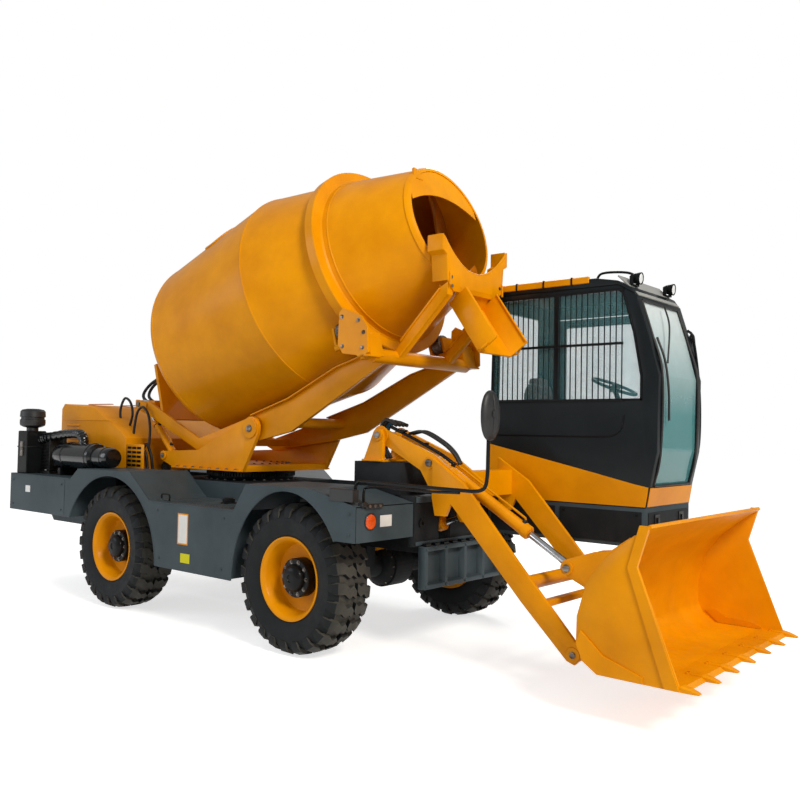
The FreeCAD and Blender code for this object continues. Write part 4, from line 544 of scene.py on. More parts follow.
def makeTyre(corner):
    spec = wheelSpec
    centre, sign = wheelPlace(corner)
    profile = tyreProfile(spec)
    carcass = lathePoints(profile * [sign, 1], centre, (0, 1, 0), spec["tyreSegments"])
    faces = gridFaces(len(profile), spec["tyreSegments"], closeRows=True, closeColumns=True)
    if sign < 0:
        faces = faces[:, ::-1]
    y, radius, around, lugFaces = lugShapes(spec)
    shapes = [(carcass, faces[:, ::-1].tolist())]
    for side in (-1, 1):
        for k in range(spec["lugs"]):
            turned = k + (0.5 if side > 0 else 0)
            angle = turned * 2 * math.pi / spec["lugs"] + around / spec["radius"] * side
            points = np.stack([radius * np.cos(angle), y * side, radius * np.sin(angle)], axis=1) + centre
            shapes.append((points, lugFaces))
    points, allFaces = joinShapes(shapes)
    piece = makePiece(corner + "_tread_tyre", points, allFaces, corner + "_wheel", "tyreRubber",
                      replaces=(corner + "_tyre",))
    fixNormals(piece)
    piece.data.set_sharp_from_angle(angle=math.radians(30))


def fixNormals(piece):
    # faces turned outwards
    shell = bmesh.new()
    shell.from_mesh(piece.data)
    bmesh.ops.recalc_face_normals(shell, faces=shell.faces)
    shell.to_mesh(piece.data)
    shell.free()


def makeRim(corner):
    spec = wheelSpec
    centre, sign = wheelPlace(corner)
    r, h = spec["rimRadius"], spec["rimWidth"] / 2
    profile = np.array([(-h, r - 0.03), (-h, r), (-h + 0.012, r), (-h + 0.016, r - 0.018),
                        (-h + 0.05, r - 0.03), (h - 0.05, r - 0.03), (h - 0.016, r - 0.018), (h - 0.012, r),
                        (h, r), (h, r - 0.012), (h - 0.014, r - 0.03), (h - 0.03, r - 0.04),
                        (0.03, r - 0.052), (0.01, r - 0.062), (0.0, r - 0.1), (-0.006, 0.165),
                        (-0.006, 0.11), (-0.021, 0.11), (-0.016, r - 0.1), (-0.012, r - 0.064),
                        (-h + 0.03, r - 0.045)])
    points = lathePoints(profile * [sign, 1], centre, (0, 1, 0), spec["rimSegments"])
    faces = gridFaces(len(profile), spec["rimSegments"], closeRows=True, closeColumns=True)
    rim = makePiece(corner + "_dish", points, faces.tolist(), corner + "_wheel", "machineEnamel",
                    replaces=(corner + "_rim",))
    fixNormals(rim)
    rim.data.set_sharp_from_angle(angle=math.radians(35))
    hubProfile = np.array([(-0.015, 0.0), (-0.015, 0.152), (0.088, 0.152), (0.094, 0.146), (0.096, 0.108),
                           (0.118, 0.104), (0.135, 0.092), (0.148, 0.07), (0.149, 0.03), (0.142, 0.026),
                           (0.142, 0.0)])
    hub = lathe(corner + "_hub", hubProfile * [sign, 1], centre, (0, 1, 0), corner + "_wheel", "blackPaint",
                segments=48, slot="dark_steel")
    fixNormals(hub)
    outward = (0, sign, 0)
    studs = circlePoints(centre + [0, sign * 0.094, 0], outward, spec["studCircle"], spec["studs"])
    bolts(corner + "_studs", studs, outward, corner + "_wheel")
    caps = circlePoints(centre + [0, sign * 0.134, 0], outward, spec["capCircle"], spec["capBolts"])
    bolts(corner + "_cap_bolts", caps, outward, corner + "_wheel", size=0.55)


for corner in ("front_right", "front_left", "rear_right", "rear_left"):
    makeTyre(corner)
    makeRim(corner)
print("wheels made")


# drum
drumSpec = dict(x=-0.883, z=3.028, pitch=17.1, rearSeam=-1.453, rearRadius=0.944, domeDepth=0.33,
                headRadius=0.33, middleRadius=1.0, neckAt=0.854, neckRadius=0.754, mouthAt=1.571,
                mouthRadius=0.516, wall=0.025, ringFrom=0.7, ringTo=0.8, ringRadius=0.87, segments=160,
                bladeDepth=0.25, bladeFrom=-1.35, bladeLength=2.86, bladeTurns=2.3)


def onAxis(points):
    # local points (along the drum's axis, across, square to it) stood on the pitched axis
    p = np.asarray(points, float).reshape(-1, 3)
    a = math.radians(drumSpec["pitch"])
    x = drumSpec["x"] + frontAxleX + p[:, 0] * math.cos(a) - p[:, 2] * math.sin(a)
    z = drumSpec["z"] + p[:, 0] * math.sin(a) + p[:, 2] * math.cos(a)
    return np.stack([x, p[:, 1], z], axis=1)


def skinRadius(along, inset=0.0):
    # dished head (a parabola), long barrel cone, front cone and neck cone
    s = drumSpec
    along = np.asarray(along, float)
    u = np.clip((s["rearSeam"] - along) / s["domeDepth"], 0, 1)
    dome = s["headRadius"] + (s["rearRadius"] - s["headRadius"]) * (1 - u ** 2)
    cone = np.interp(along, [s["rearSeam"], 0.0, s["neckAt"], s["mouthAt"]],
                     [s["rearRadius"], s["middleRadius"], s["neckRadius"], s["mouthRadius"]])
    return np.where(along < s["rearSeam"], dome, cone) - inset


def makeDrum():
    s = drumSpec
    tail = s["rearSeam"] - s["domeDepth"]
    stations = [tail + 0.001 + (s["domeDepth"] - 0.001) * k / 9 for k in range(10)]
    # a weld bead is a low ridge 14 mm wide laid over each ring seam
    outer = [(a, skinRadius(a)) for a in stations[:-1]]
    for seam in (s["rearSeam"], 0.0, s["neckAt"]):
        outer += [(seam + d, skinRadius(seam + d) + rise)
                  for d, rise in ((-0.008, 0.0), (-0.004, 0.0035), (0.004, 0.0035), (0.008, 0.0))]
        if seam == 0.0:
            ringIn, ringOut, r = s["ringFrom"], s["ringTo"], s["ringRadius"]
            outer += [(ringIn - 0.012, skinRadius(ringIn - 0.012)), (ringIn, skinRadius(ringIn) + 0.012),
                      (ringIn, r - 0.008), (ringIn + 0.008, r), (ringOut - 0.008, r), (ringOut, r - 0.008),
                      (ringOut, skinRadius(ringOut) + 0.012),
                      (ringOut + 0.012, skinRadius(ringOut + 0.012))]
    mouth = [(s["mouthAt"] - back, s["mouthRadius"] + rise) for back, rise in (
        (0.05, 0.017), (0.042, 0.024), (0.012, 0.012), (0.0, -0.002), (0.0, -s["wall"]))]
    inner = [(a, skinRadius(a, s["wall"])) for a in (1.2, s["neckAt"], 0.4, 0.0, -0.7, s["rearSeam"], -1.56,
                 -1.67)] + [(tail + s["wall"], 0.3), (tail + s["wall"], 0.02)]
    profile = np.array(outer + mouth + inner)
    around = s["segments"]
    points = lathePoints(profile, (0, 0, 0), (1, 0, 0), around)
    faces = gridFaces(len(profile), around, closeColumns=True).tolist()
    end = len(profile) * around
    faces += [list(range(around)), list(range(end - 1, end - around - 1, -1))]
    piece = makePiece("drum_skin", onAxis(points), faces, "drum", "drumEnamel", replaces=("drum_shell",))
    fixNormals(piece)
    piece.data.set_sharp_from_angle(angle=math.radians(32))


def makeBlades():
    # two Archimedes flights: angle grows with the distance along; each leans from the wall to its inner edge
    s = drumSpec
    shapes = []
    u = np.linspace(0, 1, 220)
    along = s["bladeFrom"] + u * s["bladeLength"]
    depth = s["bladeDepth"] * np.clip(np.minimum((1.56 - along) / 0.35, 1.0), 0.45, 1)
    wall = skinRadius(along, s["wall"] - 0.006)
    for start in (0.35, 0.35 + math.pi):
        angle = start + u * 2 * math.pi * s["bladeTurns"]
        grid = []
        for radius, shift in ((wall, 0.0), (wall - depth * 0.5, 0.03), (wall - depth, 0.02),
                              (wall - depth, 0.045), (wall - depth * 0.5, 0.037), (wall, 0.008)):
            grid.append(np.stack([along + shift, radius * np.cos(angle), radius * np.sin(angle)], axis=1))
        points = np.stack(grid, axis=1)
        faces = gridFaces(len(u), 6, closeColumns=True).tolist() + [list(range(6)),
            [len(u) * 6 - 1 - k for k in range(6)]]
        shapes.append((onAxis(points), faces))
    fixNormals(makePiece("drum_blades", *joinShapes(shapes), "drum", "innerEnamel"))
    # crescent plate over the upper part of the mouth, its lower edge a shallow arch
    across = np.linspace(-0.44, 0.44, 33)
    top = np.sqrt(0.502 ** 2 - across ** 2)
    low = np.minimum(top - 0.004, 0.13 + 0.13 * (1 - (across / 0.47) ** 2))
    edges = ((low, 1.563), (top, 1.563), (top, 1.555), (low, 1.555))
    points = np.stack([np.stack([np.full(33, x), across, z], axis=1) for z, x in edges], axis=1)
    faces = gridFaces(33, 4, closeColumns=True).tolist() + [[0, 1, 2, 3], [131, 130, 129, 128]]
    fixNormals(makePiece("mouth_plate", onAxis(points), faces, "drum", "drumEnamel", smooth=False))
    points, faces = prism([(-0.36, 0.36), (-0.24, 0.36), (-0.25, 0.45), (-0.33, 0.46)], 1.545, 1.569, "x")
    makePiece("mouth_catch", onAxis(points), faces, "drum", "drumEnamel", bevel=0.003)
    # inspection hatch on the barrel
    angle = math.radians(118)
    hatch = circlePoints((0, 0, 0), (0, 0, 1), 1.0, 40)[:, :2]
    rim = []
    for grow, lift in ((1.12, 0.001), (1.12, 0.012), (1.0, 0.016), (0.9, 0.012), (0.5, 0.012)):
        a = -0.72 + hatch[:, 0] * 0.17 * grow
        t = angle + hatch[:, 1] * 0.24 * grow / 0.97
        r = skinRadius(a) + lift
        rim.append(np.stack([a, r * np.cos(t), r * np.sin(t)], axis=1))
    points = np.stack(rim)
    faces = gridFaces(5, 40, closeColumns=True).tolist() + [list(range(160, 200))]
    fixNormals(makePiece("drum_hatch", onAxis(points), faces, "drum", "drumEnamel"))


makeDrum()
makeBlades()

# rollers, gearbox and what carries them
rollerSpec = dict(at=0.75, y=0.64, z=-0.724, radius=0.09, half=0.055)
for side, sign in sides:
    s = rollerSpec
    half, r = s["half"], s["radius"]
    profile = np.array([(-half, 0.027), (-half, r - 0.012), (-half + 0.012, r), (half - 0.012, r),
                        (half, r - 0.012), (half, 0.027)])
    points = onAxis(lathePoints(profile, (s["at"], sign * s["y"], s["z"]), (1, 0, 0), 48))
    roller = makePiece("roller_" + side, points,
                       gridFaces(6, 48, closeRows=True, closeColumns=True).tolist(), "roller_" + side,
                       "wornSteel", replaces=(side + "_roller",))
    fixNormals(roller)
    outline = [(0.075, 2.44), (0.085, 2.7), (0.13, 2.735), (0.33, 2.655), (0.4, 2.56), (0.41, 2.36),
               (0.36, 2.33), (0.13, 2.36)]
    guard = [sheet(outline, sign * 0.748, sign * 0.772),
             block((0.27, sign * 0.7, 2.36), (0.36, sign * 0.75, 2.5)),
             block((0.29, sign * 0.6, 2.33), (0.4, sign * 0.772, 2.345))]
    plates("roller_guard_" + side, guard, "cradle", "machineEnamel", bevel=0.004)
    spots = [at(x, sign * 0.772, z)
             for x, z in ((0.12, 2.66), (0.3, 2.62), (0.36, 2.52), (0.13, 2.42), (0.35, 2.4))]
    bolts("roller_bolts_" + side, spots, (0, sign, 0), "cradle")
gearAt = drumSpec["rearSeam"] - drumSpec["domeDepth"] - 0.01
# place behind the drum's head and radius of each ring
gearRings = [(0.3, 0.0), (0.3, 0.19), (0.285, 0.2), (0.25, 0.2), (0.24, 0.185), (0.17, 0.185),
             (0.16, 0.207), (0.12, 0.207), (0.11, 0.19), (0.03, 0.19), (0.02, 0.208), (0.001, 0.208),
             (0.001, 0.0)]
motorRings = [(0.52, 0.0), (0.52, 0.07), (0.5, 0.1), (0.4, 0.108), (0.34, 0.108), (0.335, 0.095),
              (0.3, 0.095), (0.3, 0.0)]
for name, rings, segments, finish, slot, replaced in (("gear_case", gearRings, 64, "castIron", "",
        ("drum_gearbox",)), ("drum_motor", motorRings, 48, "blackPaint", "dark_steel", ())):
    profile = [(gearAt - back, r) for back, r in rings]
    points = onAxis(lathePoints(profile, (0, 0, 0), (1, 0, 0), segments))
    faces = gridFaces(len(profile), segments, closeColumns=True).tolist()
    makePiece(name, points, faces, "cradle", finish, slot=slot, replaces=replaced)
a = math.radians(drumSpec["pitch"])
bolts("gear_case_bolts", onAxis(circlePoints((gearAt - 0.3, 0, 0), (-1, 0, 0), 0.155, 12)),
      (-math.cos(a), 0, -math.sin(a)), "cradle", size=0.9)
print("drum made")


# drum carriage
def reinforce(name, outlines, y, depth, body, finish="machineEnamel", bevel=0.003):
    # doubler plates laid against a frame's side
    plates(name, [sheet(outline, y, y + depth) for outline in outlines], body, finish, bevel)


def discOutline(x, z, radius, count=28):
    t = turn(count)
    return [(x + radius * math.cos(v), z + radius * math.sin(v)) for v in t]


for side, sign in sides:
    reinforce("slew_cheek_boss_" + side,
              [discOutline(*pins["cheek"], 0.092), discOutline(*pins["tiltFoot"], 0.046)], sign * 0.56,
              sign * 0.014, "turntable")
    reinforce("slew_pin_caps_" + side,
              [discOutline(*pins["cheek"], 0.034, 20), discOutline(*pins["tiltFoot"], 0.026, 20)],
              sign * 0.574, sign * 0.012, "turntable", "wornSteel")
    # flange along the lower edge
    plates("slew_foot_lip_" + side, [block((-2.41, sign * 0.56, 1.338), (-1.35, sign * 0.6, 1.352))],
           "turntable", "machineEnamel")
    bolts("slew_foot_bolts_" + side, [at(x, sign * 0.582, 1.352) for x in np.linspace(-2.34, -1.42, 8)],
          (0, 0, 1), "turntable")
    reinforce("frame_eye_plate_" + side, [[(-3.205, 1.945), (-3.205, 2.03), (-3.0, 2.0), (-3.0, 1.89)]],
              sign * 0.511, sign * 0.01, "cradle")
    reinforce("frame_pin_caps_" + side, [discOutline(*pins["tiltEye"], 0.03, 20)], sign * 0.521,
              sign * 0.012, "cradle", "wornSteel")
    # top flange that follows the side plate's upper edge
    path = np.array([(-1.27, 1.862), (-0.76, 2.012), (-0.17, 2.272), (0.31, 2.405)])
    shapes = []
    for a, b in zip(path, path[1:]):
        d = (b - a) / math.hypot(*(b - a))
        n = np.array([-d[1], d[0]]) * 0.012
        shapes.append(sheet([a, b, b + n, a + n], sign * 0.455, sign * 0.545))
    plates("frame_flange_" + side, shapes, "cradle", "machineEnamel")
    plates("strut_cap_" + side,
           [sheet([(0.4, 2.492), (0.8, 2.888), (0.81, 2.876), (0.41, 2.48)], sign * 0.29, sign * 0.38)],
           "cradle", "machineEnamel")
bolts("ring_bolts", circlePoints(at(slewX, 0, 1.396), (0, 0, 1), 0.385, 30), (0, 0, 1), "turntable", size=0.9)
bolts("ring_foot_bolts", circlePoints(at(slewX, 0, 1.241), (0, 0, 1), 0.462, 30), (0, 0, 1), "chassis",
      size=0.9)


def slewTeeth(count=96, radius=0.43):
    # gear teeth round the slewing ring: one tapered block turned to each place
    tooth, faces = prism([(-0.009, 0.0), (-0.004, 0.016), (0.004, 0.016), (0.009, 0.0)], 1.275, 1.315, "z")
    t = turn(count)
    local = np.asarray(tooth) + [0, radius, 0]
    x = local[:, 0] * np.cos(t)[:, None] - local[:, 1] * np.sin(t)[:, None] + at(slewX, 0, 0)[0]
    y = local[:, 0] * np.sin(t)[:, None] + local[:, 1] * np.cos(t)[:, None]
    points = np.stack([x, y, np.broadcast_to(local[:, 2], x.shape)], axis=-1)
    allFaces = [[v + k * len(tooth) for v in face] for k in range(count) for face in faces]
    makePiece("slew_teeth", points.reshape(-1, 3), allFaces, "chassis", "castIron", slot="black_steel",
              smooth=False)


slewTeeth()
print("carriage dressed")


# hopper and chute
hopperSpec = dict(x=0.88, half=0.45, top=3.3, dip=3.04)


def dressHopper():
    s = hopperSpec
    y = np.linspace(-0.435, 0.435, 41)
    dip = s["dip"] + (y / s["half"]) ** 2 * (s["top"] - s["dip"])
    path = np.stack([np.full(41, s["x"] + 0.008), y, dip - 0.004], axis=1) + at(0, 0, 0)
    makePiece("hopper_rolled_edge", *closedTube(path, 0.01, 10), "cradle", "drumEnamel")
    gussets = []
    for sign in (-1.0, 1.0):
        gussets.append(sheet([(0.865, 2.95), (0.865, 3.12), (0.8, 2.93), (0.8, 2.9)], sign * 0.26,
                             sign * 0.27))
        gussets.append(sheet([(0.897, 2.9), (0.897, 3.02), (0.914, 2.99), (0.914, 2.9)], sign * 0.36,
                             sign * 0.372))
    plates("hopper_gussets", gussets, "cradle", "drumEnamel")
    # the throat closes the way from the collar's front down to the chute
    throat = [sheet([(0.89, 3.0), (0.898, 3.0), (0.898, 2.9), (0.8, 2.755), (0.79, 2.762), (0.888, 2.905)],
                    -0.225, 0.225)]
    plates("hopper_throat", throat, "cradle", "drumEnamel", 0.002)
    low = np.array(at(0.791, 0.0, 2.785))
    d = np.array([0.3, 0.0, -0.42]) / 0.516
    up = np.array([-d[2], 0.0, d[0]])
    shapes = []
    for sign in (-1.0, 1.0):
        # along the trough, off its floor and out from its middle
        edge = [low + d * a + up * b + [0, sign * c, 0]
                for a, b, c in ((0.0, 0.197, 0.214), (0.505, 0.197, 0.214))]
        hook = [low + d * a + up * b + [0, sign * c, 0]
                for a, b, c in ((0.5, 0.12, 0.236), (0.515, 0.06, 0.262), (0.5, 0.02, 0.25))]
        shapes.append(closedTube(np.array(edge), 0.009, 10))
        shapes.append(closedTube(smoothPath(hook, 14), 0.008, 8))
    makePiece("chute_edges", *joinShapes(shapes), "cradle", "drumEnamel")
    bolts("hopper_bolts",
          [at(0.897, y, z) for y, z in ((-0.34, 2.97), (0.34, 2.97), (-0.33, 2.9), (0.33, 2.9))], (1, 0, 0),
          "cradle", size=0.8)


dressHopper()
print("hopper dressed")


# cab
cabSpec = dict(right=0.41, left=1.25)


def arc(cx, cz, radius, start, end, count=8):
    t = np.radians(np.linspace(start, end, count))
    return [(cx + radius * math.cos(v), cz + radius * math.sin(v)) for v in t]


def dressCab():
    c = cabSpec
    y = c["right"]
    band = [(0.766, 1.202), (2.188, 1.202), (2.203, 1.29), (2.212, 1.352), (2.1, 1.372), (1.7, 1.458),
            (1.2, 1.562), (0.766, 1.652)]
    plates("cab_band", [sheet(band, y, y - 0.006)], "chassis", "machineEnamel", 0.002)
    nose = [(2.191, 1.204), (2.216, 1.348), (2.223, 1.346), (2.198, 1.204)]
    plates("cab_nose_band", [sheet(nose, 0.425, 1.235)], "chassis", "machineEnamel", 0.002)
    # pressed panel line: a narrow half-round rib that turns up at its front end, drawn in black as
    # painted shade of the pressed groove
    line = onPlane(y - 0.001, [(0.8, 1.728), (1.3, 1.728), (1.8, 1.73), (1.93, 1.745), (1.99, 1.8),
                               (2.01, 1.9)])
    tube("cab_panel_shade_line", line, 0.006, "chassis", "blackPaint", count=60, around=8, slot="cab_paint")
    bend = arc(1.93, 2.8, 0.085, 15, 90, 6)
    foot = [(0.785, 2.01), (2.155, 2.01), (2.155, 2.2), (2.095, 2.53)]
    frameOuter = np.array(foot + bend + [(0.785, 2.885)])
    bars = [sheet([(1.4, 2.02), (1.432, 2.02), (1.432, 2.87), (1.4, 2.87)], y + 0.002, y - 0.008)]
    for a, b in zip(frameOuter, np.roll(frameOuter, -1, axis=0)):
        d = b - a
        n = np.array([-d[1], d[0]]) / np.linalg.norm(d) * 0.016
        bars.append(sheet([a, b, b + n, a + n], y + 0.001, y - 0.006))
    plates("side_window_frame", bars, "chassis", "blackPaint", 0.0015, slot="cab_paint")
    # rubber seal round the windscreen follows its bulge
    rows = np.array([(2.215, 1.365), (2.268, 1.62), (2.279, 2.2), (2.195, 2.52), (2.11, 2.785)])
    for side, yy in (("right", 0.484), ("left", 1.176)):
        tube("screen_seal_" + side, [(x + 0.004, yy, z) for x, z in rows], 0.01, "chassis", count=50,
             around=10)
    for name, x, z in (("top", 2.115, 2.787), ("low", 2.222, 1.362)):
        tube("screen_seal_" + name, [(x, yy, z) for yy in (0.484, 0.7, 0.96, 1.176)], 0.01, "chassis",
             count=20, around=10)
    # pale lip over the screen, gutter bar with its clips, roof ribs
    lip = [(1.935, 2.996), (2.112, 2.826), (2.104, 2.818), (1.93, 2.985)]
    plates("roof_lip", [sheet(lip, 0.44, 1.22)], "chassis", "roofGrey")
    plates("roof_gutter", [block((0.8, 0.404, 2.948), (1.7, 0.43, 3.004))], "chassis", "machineEnamel", 0.008)
    plates("gutter_clips",
           [block((x, 0.399, 2.944), (x + 0.014, 0.432, 3.008)) for x in (1.02, 1.28, 1.54)], "chassis",
           "blackPaint", 0.002)
    tube("roof_crash_rail", [(1.72, 0.5, 2.985), (1.76, 0.5, 3.03), (1.86, 0.51, 3.035), (1.98, 0.53, 3.02),
                             (2.03, 0.6, 2.99)], 0.01, "chassis", "blackPaint", count=40, around=10)
    ribs = [block((0.86, yy - 0.035, 2.984), (1.72, yy + 0.035, 2.996))
            for yy in (0.55, 0.69, 0.83, 0.97, 1.11)]
    plates("roof_ribs", ribs, "chassis", "cabPaint", 0.006)
    hatch = [block((1.02, 0.6, 2.996), (1.5, 1.06, 3.012))]
    plates("roof_hatch", hatch, "chassis", "mouldedBlack", 0.008)
    # wiper with its arm and blade, handle, hinges
    tube("wiper_arm", [(2.158, 0.8, 2.775), (2.235, 0.72, 2.6), (2.292, 0.56, 2.3)], 0.007, "chassis",
         "mouldedBlack", count=24, around=8)
    tube("wiper_blade", [(2.212, 0.545, 2.5), (2.272, 0.555, 2.32), (2.3, 0.56, 2.1), (2.303, 0.565, 1.86)],
         0.009, "chassis", count=30, around=8)
    tube("far_rail", [(2.19, 1.2, 2.62), (2.215, 1.255, 2.56), (2.25, 1.28, 2.25), (2.265, 1.283, 1.95),
                      (2.26, 1.27, 1.66), (2.245, 1.2, 1.56)], 0.011, "chassis", "blackPaint", count=50,
         around=12)
    base = []
    for low, high in ((0.8, 1.42), (1.46, 2.16)):
        base.append(sheet([(low, 0.925), (high, 0.925), (high, 1.165), (low, 1.165)], y, y - 0.005))
    base.append(block((2.19, 0.45, 0.93), (2.196, 1.21, 1.16)))
    plates("base_covers", base, "chassis", "chassisPaint", slot="grey_paint")
    latch = []
    for yy in (0.6, 1.06):
        latch += [block((2.196, yy - 0.045, 1.05), (2.204, yy + 0.045, 1.14)),
                  block((2.204, yy - 0.014, 1.02), (2.216, yy + 0.014, 1.115))]
    plates("base_latches", latch, "chassis", "mouldedBlack", 0.002)
    spots = [at(x, y - 0.005, z) for x in (0.84, 1.38, 1.5, 2.12) for z in (0.95, 1.14)]
    bolts("base_bolts", spots, (0, -1, 0), "chassis", "blackPaint", slot="dark_steel", size=0.7)
    # door furniture on the far side rides with the leaf
    plates("door_handle",
           [block((1.68, 1.25, 1.62), (1.8, 1.262, 1.66)), block((1.7, 1.262, 1.635), (1.78, 1.28, 1.65))],
           "door", "mouldedBlack")
    plates("door_hinges", [block((0.962, 1.25, z), (1.02, 1.264, z + 0.09)) for z in (1.4, 2.35)], "door",
           "blackPaint")


def dressLamps():
    # work lamps: a deep housing that widens to its lens; the marker is a stepped round lens
    for side, yy in (("right", 0.53), ("left", 1.16)):
        place = at(2.0, yy, 2.975)
        body = [(0.0, 0.0), (0.0, 0.026), (0.02, 0.036), (0.06, 0.044), (0.078, 0.048), (0.086, 0.048),
                (0.086, 0.041), (0.08, 0.04), (0.08, 0.0)]
        lathe("roof_lamp_" + side, body, place, (0.94, 0.05, -0.1), "chassis", "lampGrey", segments=32,
              slot="lamp_plastic", replaces=("lamps",) if side == "right" else ())
        lens = [(0.0795, 0.0), (0.0795, 0.0395), (0.083, 0.038), (0.086, 0.025), (0.087, 0.0)]
        lathe("roof_lens_" + side, np.array(lens)[::-1], place, (0.94, 0.05, -0.1), "chassis", "clearLens",
              segments=32)
        bracket = [block((2.015, yy - 0.058, 2.915), (2.045, yy - 0.052, 2.985)),
                   block((2.015, yy + 0.052, 2.915), (2.045, yy + 0.058, 2.985)),
                   block((2.015, yy - 0.058, 2.912), (2.045, yy + 0.058, 2.92))]
        plates("lamp_bracket_" + side, bracket, "chassis", "blackPaint", 0.001)
    place = at(0.76, -1.09, 1.08)
    lathe("marker_bezel", [(0.0, 0.0), (0.0, 0.064), (0.006, 0.064), (0.01, 0.058), (0.006, 0.055),
                           (0.006, 0.0)], place, (1, 0, 0), "chassis", "mouldedBlack", segments=40,
          slot="lamp_plastic")
    rings = [(0.006, 0.0545), (0.0085, 0.052), (0.0078, 0.043), (0.0098, 0.04), (0.0088, 0.03),
             (0.0108, 0.027), (0.0098, 0.014), (0.0115, 0.008), (0.0118, 0.0)]
    lathe("marker_lens", rings, place, (1, 0, 0), "chassis", "orangeLens", segments=40)


def signedPower(value, power):
    return np.sign(value) * np.abs(value) ** power


def ovalBowl(name, outline, rings, y, z):
    # an oval carried along X: each ring has its place and its share of the outline
    count = len(outline)
    grid = np.stack([np.column_stack([np.full(count, x), y + outline[:, 0] * share,
                             z + outline[:, 1] * share]) for x, share in rings])
    faces = gridFaces(len(rings), count, closeColumns=True).tolist() + [list(range(count)),
        [len(rings) * count - 1 - k for k in range(count)]]
    fixNormals(makePiece(name, grid + at(0, 0, 0), faces, "chassis", "mouldedBlack"))


def dressMirrors():
    y = -1.18
    arm = onPlane(y, [(0.69, 1.24), (0.69, 1.33), (0.72, 1.368), (0.8, 1.372), (1.6, 1.362), (1.74, 1.362),
                      (1.815, 1.385), (1.838, 1.46), (1.842, 1.6), (1.845, 1.8)])
    tube("mirror_arm", arm, 0.0125, "chassis", "blackPaint", count=110, around=12, slot="black_plastic",
         replaces=("right_mirror",))
    # head: a shallow oval bowl with a superellipse outline; it looks forward
    t = turn(64)
    outline = np.stack([signedPower(np.cos(t), 0.92) * 0.098, signedPower(np.sin(t), 0.92) * 0.163], axis=1)
    rings = [(1.85, 0.93), (1.846, 0.97), (1.852, 1.0), (1.863, 0.975), (1.874, 0.87), (1.882, 0.68),
             (1.887, 0.42), (1.889, 0.16)]
    ovalBowl("mirror_head", outline, rings, y, 1.85)
    tube("mirror_ridge",
         onPlane(y, [(1.872, 1.72), (1.884, 1.78), (1.888, 1.86), (1.884, 1.93), (1.874, 1.98)]), 0.009,
         "chassis", "mouldedBlack", count=24, around=12)
    lathe("mirror_hub", [(0.0, 0.0), (0.0, 0.024), (0.008, 0.027), (0.014, 0.024), (0.014, 0.0)],
          at(1.884, y, 1.86), (1, 0, 0), "chassis", "mouldedBlack", segments=24)
    tube("far_mirror_arm", [(2.17, 1.25, 2.5), (2.19, 1.29, 2.52), (2.2, 1.31, 2.5)], 0.011, "chassis",
         "blackPaint", count=16, around=10, slot="black_plastic", replaces=("left_mirror",))
    outline = outline * [0.42, 0.92]
    rings = [(2.155, 0.5), (2.16, 0.85), (2.175, 1.0), (2.2, 1.0), (2.204, 0.95)]
    ovalBowl("far_mirror_head", outline, rings, 1.302, 2.45)


# seat and controls
seatSpec = dict(x=1.18, y=0.83, swell=0.016, fill=0.8)


def crownedForm(centre, half, lean, power=0.42, rows=26, columns=52):
    # superellipsoid: x, y, z follow signed powers of cos and sin of two angles, so the faces crown and the
    # sides pull in
    u = np.linspace(-math.pi / 2 + 0.06, math.pi / 2 - 0.06, rows)[:, None]
    v = turn(columns)[None, :]
    x = half[0] * signedPower(np.cos(u), power) * signedPower(np.cos(v), power)
    y = half[1] * signedPower(np.cos(u), power) * signedPower(np.sin(v), power)
    z = half[2] * signedPower(np.sin(u), power) * np.ones_like(v)
    points = np.stack([x + z * lean, y, z], axis=-1) + np.asarray(centre)
    faces = gridFaces(rows, columns, closeColumns=True).tolist() + [list(range(columns))[::-1],
        list(range((rows - 1) * columns, rows * columns))]
    return points.reshape(-1, 3), faces


def inflate(piece, swell):
    # cloth blown up from inside for 20 frames, each point kept within the given swell of where it began
    remesh = piece.modifiers.new("Remesh", "REMESH")
    remesh.mode = "VOXEL"
    remesh.voxel_size = 0.006
    bakeModifiers(piece)
    start = np.empty(len(piece.data.vertices) * 3)
    piece.data.vertices.foreach_get("co", start)
    cloth = piece.modifiers.new("Cloth", "CLOTH")
    cloth.settings.use_pressure = True
    cloth.settings.uniform_pressure_force = 4.0
    cloth.settings.effector_weights.gravity = 0.0
    cloth.point_cache.frame_start, cloth.point_cache.frame_end = 1, 20
    for number in range(1, 21):
        scene.frame_set(number)
    bakeModifiers(piece)
    scene.frame_set(1)
    ends = np.empty(len(piece.data.vertices) * 3)
    piece.data.vertices.foreach_get("co", ends)
    moved = (ends - start).reshape(-1, 3)
    length = np.linalg.norm(moved, axis=1)[:, None]
    moved *= np.minimum(1.0, swell / np.maximum(length, 1e-9))
    piece.data.vertices.foreach_set("co", (start.reshape(-1, 3) + moved).ravel())
    piece.data.polygons.foreach_set("use_smooth", np.ones(len(piece.data.polygons), bool))
    piece.data.update()


def bakeModifiers(piece):
    graph = bpy.context.evaluated_depsgraph_get()
    baked = bpy.data.meshes.new_from_object(piece.evaluated_get(graph))
    piece.modifiers.clear()
    piece.data = baked


